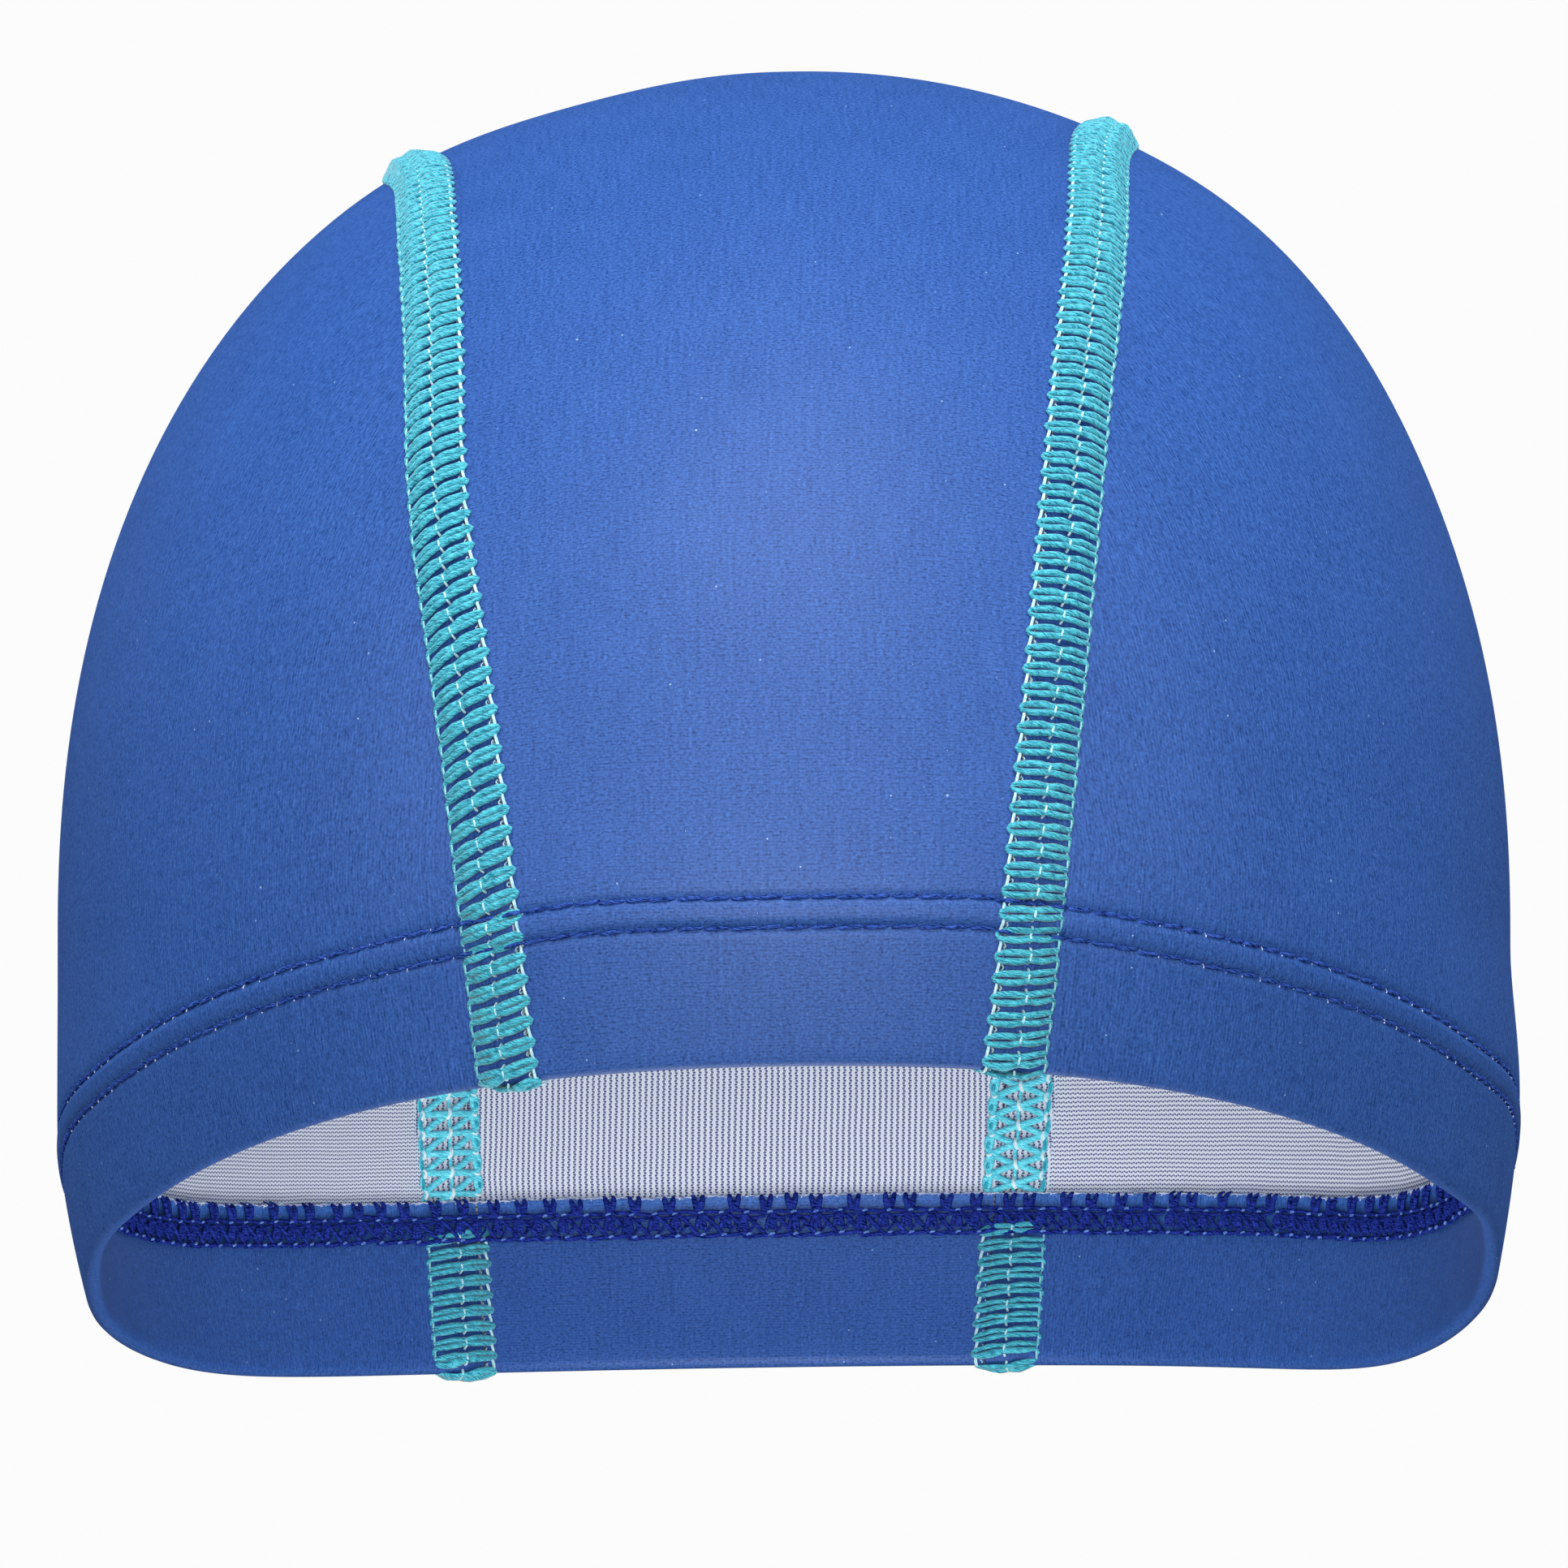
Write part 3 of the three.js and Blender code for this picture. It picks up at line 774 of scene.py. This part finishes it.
# %% Strands and stitches, drawn flat
def strand(points, thickness, flatten=1.0, roundness=1):
    """A closed mesh thread, pressed flat. A point's fourth value is its share of the thickness."""
    bpy.ops.curve.primitive_bezier_curve_add()
    curve = bpy.context.object
    spline = curve.data.splines[0]
    spline.bezier_points.add(len(points) - 2)
    for knot, (x, y, z, *share) in zip(spline.bezier_points, points):
        knot.co = (x, y, z / flatten)
        knot.radius = share[0] if share else 1.0
        knot.handle_left_type = knot.handle_right_type = "AUTO"
    spline.resolution_u = 2
    curve.data.resolution_u = 2
    curve.data.bevel_depth = thickness / 2
    curve.data.bevel_resolution = roundness
    curve.data.use_fill_caps = True
    bpy.ops.object.convert(target="MESH")
    bpy.context.object.scale = (1, 1, flatten)
    bpy.ops.object.transform_apply(scale=True)
    return bpy.context.object


def draw_stitch(drawn, flatten=1.0):
    """One stitch of strands, each with its points, its thickness and, if it is thin, roundness 0."""
    strands = [strand(points, thickness, flatten, *roundness) for points, thickness, *roundness in drawn]
    select(strands)
    if len(strands) > 1:
        bpy.ops.object.join()
    return bpy.context.object


def repeat_stitch(stitch, pitch, count, unevenness, seed):
    """Repeats a stitch along y, shifts each copy a little, and stores the flat place as its UV map."""
    bpy.context.view_layer.objects.active = stitch
    modifier = stitch.modifiers.new("repeat", "ARRAY")
    modifier.count = count
    modifier.use_relative_offset = False
    modifier.use_constant_offset = True
    modifier.constant_offset_displace = (0, pitch, 0)
    bpy.ops.object.modifier_apply(modifier=modifier.name)
    flat = values_of(stitch.data.vertices, "co", 3)
    while stitch.data.uv_layers:
        stitch.data.uv_layers.remove(stitch.data.uv_layers[0])
    stitch.data.uv_layers.new(name="UVMap")
    store_flat_places(stitch.data, flat[:, :2])
    random = np.random.default_rng(seed)
    copy_of = np.repeat(np.arange(count), len(flat) // count)
    shift = random.normal(0, unevenness, (count, 3)) * (1, 1, 0.4)
    turn = random.normal(0, unevenness * 0.2, count)
    flat = flat + shift[copy_of]
    flat[:, 1] += turn[copy_of] * flat[:, 0]
    return flat


def finish_thread(piece, name, points, material):
    piece.name = name
    piece.data.vertices.foreach_set("co", (points * MM).ravel())
    piece.data.materials.clear()
    piece.data.materials.append(material)
    piece.data.update()
    select([piece])
    edit_all_faces(bpy.ops.mesh.normals_make_consistent, inside=False)
    bpy.ops.object.shade_smooth()
    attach(piece, "root")
    print(name, len(piece.data.polygons), "faces")


# %% [markdown]
# ## Paths along the seams
# A seam is sewn before the hem is turned up, so its outer threads go round the fold and up inside
# the hem. Its path follows the coated face from one raw edge to the other. The threads on the other
# side follow the lining, and stop where the hem covers them.

# %% Seam paths
THREAD_ROUNDING = 85.0
BAND_HALF_WIDTH = 3.3
SEAM_PLACES = 241
PRESSED_FLAT, PRESSED_IN = 0.45, 0.25
FLUFF_ROUNDING = 0.25


class SeamPath:
    """Places along a seam, with the directions across it and out of the cloth.

    Each place also says how far the threads are pressed down, spread and fluffed up there.
    """

    def __init__(self, place, across, pressed, width, fluff):
        self.pressed = pressed
        self.width = width
        self.fluff = fluff
        onward = unit(np.gradient(place, axis=0))
        self.place = place
        self.across = across
        self.out = unit(np.cross(across, onward))
        self.along = run_along(place)
        self.length = self.along[-1]

    def lay(self, flat, sunk=0.0):
        """Places of drawn points on the cap. Sunk threads stay below the fluff."""
        x, y, z = flat.T
        place, across, out = (
            np.stack([np.interp(y, self.along, values[:, k]) for k in range(3)], -1)
            for values in (self.place, self.across, self.out))
        pressed, fluff, width = (
            np.interp(y, self.along, values) for values in (self.pressed, self.fluff, self.width))
        lift = z * (1 + fluff - PRESSED_FLAT * pressed) - PRESSED_IN * pressed
        lift = lift - x ** 2 / (2 * THREAD_ROUNDING)
        lift = lift - fluff * (sunk + FLUFF_ROUNDING * (x / BAND_HALF_WIDTH) ** 2)
        return place + across * (x * width)[:, None] + out * lift[:, None]


def seam_line(side, heights):
    """Points and normals of the form along a seam, over the head from rim to rim."""
    def x_at(over):
        return seam_x(side, over)

    front, back = ends_at_height(x_at, heights)
    climb = np.linspace(0, 1, SEAM_PLACES)[1:-1]
    over = np.concatenate([front, mix(front[-1], back[-1], climb), back[::-1]])
    points = over_point(x_at(over), over)
    normals = normal_at(points)
    ahead, behind = (over_point(x_at(over + nudge), over + nudge) for nudge in (0.1, -0.1))
    across = unit(np.cross(ahead - behind, normals))
    return points, normals, across * np.sign(across[:, :1])


# %% Outer and inner paths of both seams
LINE_PRESS_WIDTH = 0.5
FOLD_PRESS, FOLD_PRESS_WIDTH = 0.55, 0.6
CROWN_FLUFF = {-1: 0.5, 1: 0.65}
CROWN_REACH = 20.0
CROWN_NARROWED, INSIDE_WIDENED = 0.10, 0.14


def outer_seam_path(side):
    """The hem's stitched lines and the fold press the threads down, and at the crown they stand up."""
    points, normals, across = seam_line(side, HEM[:, 0])
    profile = np.concatenate([HEM, PLAIN_ROW * (len(points) - 2 * len(HEM)), HEM[::-1]])
    height, offset = profile[:, 0] + stitch_drop(points), profile[:, 1]
    pressed = sum(bell(height, line, LINE_PRESS_WIDTH) for line in NEEDLE_LINES)
    pressed = pressed + FOLD_PRESS * bell(offset, -FOLD_RADIUS, FOLD_PRESS_WIDTH)
    crown = bell(angle_over(points), 90, CROWN_REACH)
    inside = smooth_step(-offset, 0, 2 * FOLD_RADIUS)
    width = 1 + INSIDE_WIDENED * inside - CROWN_NARROWED * crown
    place = points + normals * offset[:, None]
    return SeamPath(place, across, pressed, width, CROWN_FLUFF[side] * crown)


def inner_seam_path(side):
    """It starts and ends just under the raw edge of the hem, and nothing presses it."""
    points, normals, across = seam_line(side, np.linspace(HEM_DEPTH - 0.4, HEM_DEPTH + 4, 6))
    none = np.zeros(len(points))
    return SeamPath(points - normals * CLOTH, -across, none, none + 1, none)


outer_paths = {side: outer_seam_path(side) for side in (-1, 1)}
inner_paths = {side: inner_seam_path(side) for side in (-1, 1)}
print("seam lengths:", [round(path.length) for path in outer_paths.values()], "mm")

# %% [markdown]
# ## Outside of the seams
# A flatlock seam lies flat because its threads cross from one panel to the other. The looper thread
# makes the rungs: out to one needle line, round it in a small loop, back beside itself, and on to
# the next rung. Three needle threads hold it down as short pale dashes. The bigger loops are on the
# centre panel's side of both seams.

# %% Outer stitches
SEAM_PITCH = 2.05
NAPE_CROWDING = 0.08
RUNG_SLANT = {-1: 0.27, 1: 0.08}
RUNGS = {-1: (0.35, 0.75), 1: (0.40, 0.70)}
NEEDLES_SINK = 0.2


def slanted(points, side):
    """Turns the drawn stitch to have its big loops on the centre panel, and slants its rungs."""
    return [(side * x, y + RUNG_SLANT[side] * side * x, *rest) for x, y, *rest in points]


def looper_stitch(side, pitch):
    """Out along one rung, round the big loop, back beside it, and thinly on to the next."""
    top, thickness = RUNGS[side]
    low = -top
    rung = [(3.15, top, 0.24, 0.85), (2.3, top + 0.04, 0.56), (1.2, top + 0.03, 0.94, 1.05),
            (0.0, top - 0.10, 0.80), (-1.2, top + 0.03, 0.94, 1.05), (-2.4, top + 0.02, 0.56),
            (-3.15, top - 0.06, 0.36, 0.85), (-3.66, 0.0, 0.24, 0.55), (-3.15, low + 0.06, 0.36, 0.85),
            (-2.4, low - 0.02, 0.54), (-1.2, low - 0.03, 0.94, 1.05), (0.0, low + 0.10, 0.80),
            (1.2, low - 0.03, 0.94, 1.05), (2.3, low - 0.04, 0.54), (3.15, low, 0.30, 0.85),
            (3.46, low - 0.35, 0.22, 0.5), (3.42, low - 0.9, 0.06, 0.3), (3.15, top - pitch, 0.24, 0.9)]
    return draw_stitch([(slanted(rung, side), thickness)], 0.85)


def needle_stitches(side):
    """The line through the big loops and the dashes in the middle."""
    loop_line = [(-3.14, -0.22, -0.10), (-3.18, -0.6, 0.30), (-3.26, -1.1, 0.36), (-3.33, -1.6, 0.30),
                 (-3.38, -1.98, -0.10)]
    nook = [(-2.74, -0.85, 0.02), (-2.58, -1.08, 0.18), (-2.72, -1.32, 0.02)]
    middle = [(0.08, 0.74, 0.24), (0.07, 0.46, 0.88), (0.0, 0.0, 1.02), (-0.05, -0.46, 0.88),
              (-0.08, -0.74, 0.24)]
    drawn = ((loop_line, 0.36), (nook, 0.16, 0), (middle, 0.29))
    return draw_stitch([(slanted(points, side), *size) for points, *size in drawn])


def edge_line(side):
    """The thinner line on the side panel's edge."""
    points = [(3.22, 0.15, 0.0), (3.24, -0.3, 0.26), (3.30, -0.95, 0.30), (3.28, -1.6, 0.28),
              (3.20, -2.0, 0.0)]
    return draw_stitch([(slanted(points, side), 0.24)])


# %% Sew the outside of both seams
def crowded(along, first, last):
    """The rungs stand closer at the nape than at the brow."""
    share = (along - first) / (last - first)
    return along + NAPE_CROWDING * share * (1 - share) * (last - first)


for side, name in SIDES:
    path = outer_paths[side]
    first, last = path.along[FOLD_ROW], path.along[-1 - FOLD_ROW]
    between_folds = round((last - first) / SEAM_PITCH)
    pitch = (last - first) / between_folds
    inside = int((first - 1) / pitch)
    stitches = (("looper", looper_stitch(side, pitch), looper_yarn, 0.0),
                ("needles", needle_stitches(side), needle_thread, NEEDLES_SINK),
                ("edge", edge_line(side), edge_thread, NEEDLES_SINK))
    for kind, stitch, material, sunk in stitches:
        flat = repeat_stitch(stitch, pitch, between_folds + 1 + 2 * inside, 0.035, seed=11 + side)
        flat[:, 1] = crowded(flat[:, 1] + first - inside * pitch, first, last)
        finish_thread(stitch, f"seam_{kind}_{name}", path.lay(flat, sunk), material)
        if kind == "looper":
            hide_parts("seam_" + name)

# %% [markdown]
# ## Inside of the seams
# On the lining side the loopers cross in a row of X shapes between two fluffy edges, of which the
# centre panel's is the thicker. This side is seen through the opening, on the back wall, so it gets
# threads of its own. On the left seam the row of X shapes is sewn askew.

# %% Inner stitches
INNER_PITCH = 2.3
INNER_SHEAR = {-1: 0.36, 1: 0.04}
INNER_WIDTH = {-1: 1.08, 1: 1.02}
INNER_SHIFT = {-1: 0.0, 1: 0.45}


def inner_stitches(side):
    """Fluffy yarn, its darker cores at both edges and pale needle thread, with y counted in pitches."""
    falling = [(3.1, 0.0, 0.28), (1.5, 0.3, 0.50), (0, 0.5, 0.42), (-1.5, 0.7, 0.50), (-3.1, 1.0, 0.28)]
    rising = [(3.1, 1.0, 0.30), (1.5, 0.72, 0.56), (0, 0.5, 0.72), (-1.5, 0.28, 0.56), (-3.1, 0.0, 0.30)]
    edge = [(3.05, 0.0, 0.40), (3.55, 0.25, 0.42), (3.60, 0.6, 0.42), (3.1, 1.05, 0.60)]
    edge_back = [(3.0, 0.1, 0.62), (3.1, 0.5, 0.50), (3.45, 1.0, 0.40)]
    thin_edge = [(-3.0, 0.0, 0.38), (-3.4, 0.35, 0.42), (-3.35, 0.7, 0.42), (-3.0, 1.02, 0.5)]
    stem = [(0.05, 0.6, 0.55), (0.2, 1.0, 0.32), (0.0, 1.4, 0.55)]
    core = [(3.30, 0.46, 0.70), (3.48, 0.6, 0.80), (3.40, 0.74, 0.70)]
    thin_core = [(-3.34, 0.22, 0.52), (-3.44, 0.5, 0.64), (-3.36, 0.8, 0.52)]
    knot = [(0.16, 0.27, 0.55), (0.0, 0.5, 1.02), (-0.14, 0.71, 0.55)]
    edge_knot = [(-3.2, -0.14, 0.55), (-3.1, 0.06, 0.80), (-3.28, 0.27, 0.55)]
    chain_knot = [(2.95, 0.98, 0.6), (3.2, 1.1, 0.95), (3.45, 1.02, 0.6)]
    yarn = ((falling, 0.80), (rising, 0.80), (edge, 0.92), (edge_back, 0.70), (thin_edge, 0.66),
            (stem, 0.48))
    cores = ((core, 0.44), (thin_core, 0.40))
    needle = ((knot, 0.50), (edge_knot, 0.42), (chain_knot, 0.32))

    def leaning(points):
        return [(side * x * INNER_WIDTH[side] + INNER_SHIFT[side],
                 y * INNER_PITCH + INNER_SHEAR[side] * side * x, z) for x, y, z in points]

    return [draw_stitch([(leaning(points), thickness) for points, thickness in kind], 0.8)
            for kind in (yarn, cores, needle)]


# %% Sew the inside of both seams
for side, name in SIDES:
    path = inner_paths[side]
    count = int((path.length - 2) / INNER_PITCH)
    kinds = (("yarn", inside_yarn), ("core", inside_core), ("needle", inside_needle))
    for stitch, (kind, material) in zip(inner_stitches(side), kinds):
        flat = repeat_stitch(stitch, INNER_PITCH, count, 0.05, seed=31 + side)
        flat[:, 1] += path.length - (count + 0.2) * INNER_PITCH
        finish_thread(stitch, f"seam_inside_{kind}_{name}", path.lay(flat), material)

# %% [markdown]
# ## Stitching round the hem
# Twin needles sew the hem down: two lines of short stitches show outside, and inside a cover stitch
# of fluffy navy yarn lies over the raw edge. These stitches are drawn flat too, with x as the height
# above the rim, and are laid by azimuth and height. They climb a little where they cross a seam.

# %% Laying stitches round the rim
HEM_PITCH = 2.8
MEASURED_HEIGHT = 17.0
DROP_KEPT_ABOVE_LINE, DROP_GONE_ABOVE_EDGE = 0.2, 0.6
CLIMB_NEAR, CLIMB_FAR, CLIMB_RIGHT = 2.8, 4.4, 0.55
azimuth_table = np.linspace(-math.pi / 2, 1.5 * math.pi, 721)
rim_line = wall_point(azimuth_table, np.full(azimuth_table.shape, MEASURED_HEIGHT))
rim_along = run_along(rim_line)
hem_stitches = round(rim_along[-1] / HEM_PITCH)
hem_pitch = rim_along[-1] / hem_stitches
print("round the hem:", round(rim_along[-1]), "mm,", hem_stitches, "stitches")


def seam_nearness(points, full, none):
    """1 on a seam, falling to 0 at a distance from it."""
    over = angle_over(points)
    nearest = np.minimum(*(np.abs(points[:, 0] - seam_x(side, over)) for side in (-1, 1)))
    return 1 - smooth_step(nearest, full, none)


def lay_round_hem(flat, face_offset, way, climb):
    """way is 1 on the outer face and -1 on the inner one, where the stitches run the other way too."""
    azimuth = np.interp(way * flat[:, 1] % rim_along[-1], rim_along, azimuth_table)
    drop = stitch_drop(wall_point(azimuth, flat[:, 0]))
    kept, gone = NEEDLE_LINES[1] + DROP_KEPT_ABOVE_LINE, HEM_DEPTH + DROP_GONE_ABOVE_EDGE
    height = flat[:, 0] - drop * (1 - smooth_step(flat[:, 0], kept, gone))
    points = wall_point(azimuth, height)
    climb = climb * np.where(points[:, 0] < 0, 1.0, CLIMB_RIGHT)
    lift = flat[:, 2] + climb * seam_nearness(points, CLIMB_NEAR, CLIMB_FAR)
    return points + normal_at(points) * (face_offset(flat[:, 0], height) + way * lift)[:, None]


# %% Twin needle lines outside
def outer_face(drawn, height):
    return stitch_relief(drawn)


def top_stitch():
    """One slightly twisted stitch on each line."""
    twists = [[(line - 0.10, 0.02, -0.04, 0.7), (line - 0.05, 0.45, 0.16),
               (line + 0.02, hem_pitch / 2, 0.22, 1.1), (line + 0.07, hem_pitch - 0.45, 0.16),
               (line + 0.10, hem_pitch - 0.02, -0.04, 0.7)] for line in NEEDLE_LINES]
    return draw_stitch([(points, 0.43) for points in twists])


stitch = top_stitch()
flat = repeat_stitch(stitch, hem_pitch, hem_stitches, 0.03, seed=51)
hem_lines = lay_round_hem(flat, outer_face, 1, 0.46)
finish_thread(stitch, "hem_needle_lines", hem_lines, navy_thread)


# %% Cover stitch inside
COVER_TOP = NEEDLE_LINES[1] - 0.4


def cover_stitch():
    """Two ropes along the lines. Under each knot of the upper one a dark fan, and threads to the next."""
    pitch = hem_pitch
    low, high = NEEDLE_LINES[0], COVER_TOP
    upper = [(high + 0.02, -0.1, 0.30), (high + 0.18, 0.35 * pitch, 0.46), (high + 0.10, 0.7 * pitch, 0.44),
             (high + 0.02, pitch + 0.1, 0.30)]
    shoulder = [(high - 0.25, 0.2, 0.30, 0.8), (high - 0.55, 0.30 * pitch, 0.42),
                (high - 0.55, 0.65 * pitch, 0.44), (high - 0.3, pitch - 0.15, 0.34, 0.8)]
    lower = [(low, -0.1, 0.28), (low - 0.12, 0.35 * pitch, 0.42), (low + 0.06, 0.75 * pitch, 0.38),
             (low, pitch + 0.1, 0.28)]
    stem = [(high - 0.15, 0.0, 0.45, 0.8), (high - 0.9, 0.0, 0.66, 1.1), (low + 0.7, 0.02, 0.35, 0.9)]
    left_leg = [(high - 0.25, -0.12, 0.42, 0.8), (high - 1.1, -0.38, 0.60, 1.15),
                (low + 0.65, -0.64, 0.28, 0.8)]
    right_leg = [(high - 0.25, 0.12, 0.42, 0.8), (high - 1.1, 0.30, 0.60, 1.15),
                 (low + 0.7, 0.54, 0.28, 0.8)]
    crossing_down = [(high - 0.2, 0.25, 0.45, 0.9), (high - 0.95, 0.36 * pitch, 0.60),
                     (low + 0.95, 0.66 * pitch, 0.52), (low + 0.25, 0.92 * pitch, 0.34, 0.9)]
    crossing_up = [(low + 0.3, 0.45, 0.28, 0.7), (low + 1.0, 0.4 * pitch, 0.34),
                   (high - 0.6, 0.58 * pitch, 0.34, 0.7)]
    drawn = ((upper, 0.50), (shoulder, 0.44), (lower, 0.54), (stem, 0.58), (left_leg, 0.54),
             (right_leg, 0.52), (crossing_down, 0.54), (crossing_up, 0.36))
    return draw_stitch(drawn, 0.85)


def turned_up_face(drawn, height):
    """The inside of the hem, and above its raw edge the lining."""
    return -mix(2 * FOLD_RADIUS, CLOTH, smooth_step(height, HEM_DEPTH, HEM_DEPTH + 0.8))


stitch = cover_stitch()
flat = repeat_stitch(stitch, hem_pitch, hem_stitches, 0.08, seed=71)
cover = lay_round_hem(flat, turned_up_face, -1, 0.55)
finish_thread(stitch, "hem_cover_yarn", cover, navy_yarn)
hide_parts("hem_cover_stitch")


# %% Small stitches of the hem: tufts over the raw edge, pale knots, pricks outside, frayed edge
def edge_tufts():
    high = COVER_TOP
    tufts = [[(high + 0.15, 0.24 * lean, 0.30, 0.9), (high + 0.8, 0.36 * lean, 0.46, 1.1),
              (HEM_DEPTH - 0.4, 0.50 * lean, 0.38, 1.1), (HEM_DEPTH + 0.1, 0.56 * lean, 0.04, 0.9)]
             for lean in (-1, 1)]
    tufts.append([(high + 0.1, 0.0, 0.34), (high + 0.7, 0.02, 0.52), (HEM_DEPTH - 0.6, 0.0, 0.30, 0.6)])
    return draw_stitch([(points, 0.60) for points in tufts], 0.8)


def pale_knots():
    dots = [[(line - 0.06, place - 0.20, 0.44), (line + 0.04, place + 0.04, 0.66),
             (line + 0.08, place + 0.32, 0.44)]
            for line, place in ((COVER_TOP, 0.0), (NEEDLE_LINES[0], 0.25))]
    return draw_stitch([(points, 0.30) for points in dots])


def needle_pricks():
    pricks = [[(line - 0.30, 0.0, -0.08), (line - 0.10, 0.03, 0.14), (line + 0.12, 0.0, -0.06)]
              for line in NEEDLE_LINES]
    return draw_stitch([(points, 0.14, 0) for points in pricks])


def frayed_edge():
    edge = HEM_DEPTH - 0.05
    wisps = [[(edge, 0.0, 0.06), (edge + 0.18, 0.6, 0.10), (edge + 0.04, 1.3, 0.04),
              (edge + 0.20, 1.9, 0.12), (edge, hem_pitch, 0.06)],
             [(edge - 0.15, 0.9, 0.0), (edge + 0.26, 1.2, 0.16), (edge + 0.1, 1.6, 0.08)]]
    return draw_stitch([(points, 0.20, 0) for points in wisps])


PRICK_SINK, SUNK_DROP, SHOWN_DROP = 0.3, 1.2, 1.9


def pricked_face(drawn, height):
    """The pricks show on the side panels and sink out of sight over the brow and the nape."""
    return outer_face(drawn, height) - PRICK_SINK * (1 - smooth_step(drawn - height, SUNK_DROP, SHOWN_DROP))


# %% Sew the small stitches of the hem
TUFT_PITCH = 3.7
frayed_yarn = thread_material("frayed_yarn", (0.10, 0.17, 0.42), (0.72, 0.77, 0.90), False)
tuft_pitch = rim_along[-1] / round(rim_along[-1] / TUFT_PITCH)
for draw, name, material, face, way, climb, pitch, unevenness in (
        (edge_tufts, "hem_edge_tufts", navy_yarn, turned_up_face, -1, 0.3, tuft_pitch, 0.12),
        (pale_knots, "hem_pale_knots", pale_loop, turned_up_face, -1, 0.55, hem_pitch, 0.06),
        (needle_pricks, "hem_needle_pricks", frayed_yarn, pricked_face, 1, 0.5, hem_pitch, 0.08),
        (frayed_edge, "hem_frayed_edge", frayed_yarn, turned_up_face, -1, 0.3, hem_pitch, 0.10)):
    stitch = draw()
    flat = repeat_stitch(stitch, pitch, round(rim_along[-1] / pitch), unevenness, seed=72)
    finish_thread(stitch, name, lay_round_hem(flat, face, way, climb), material)
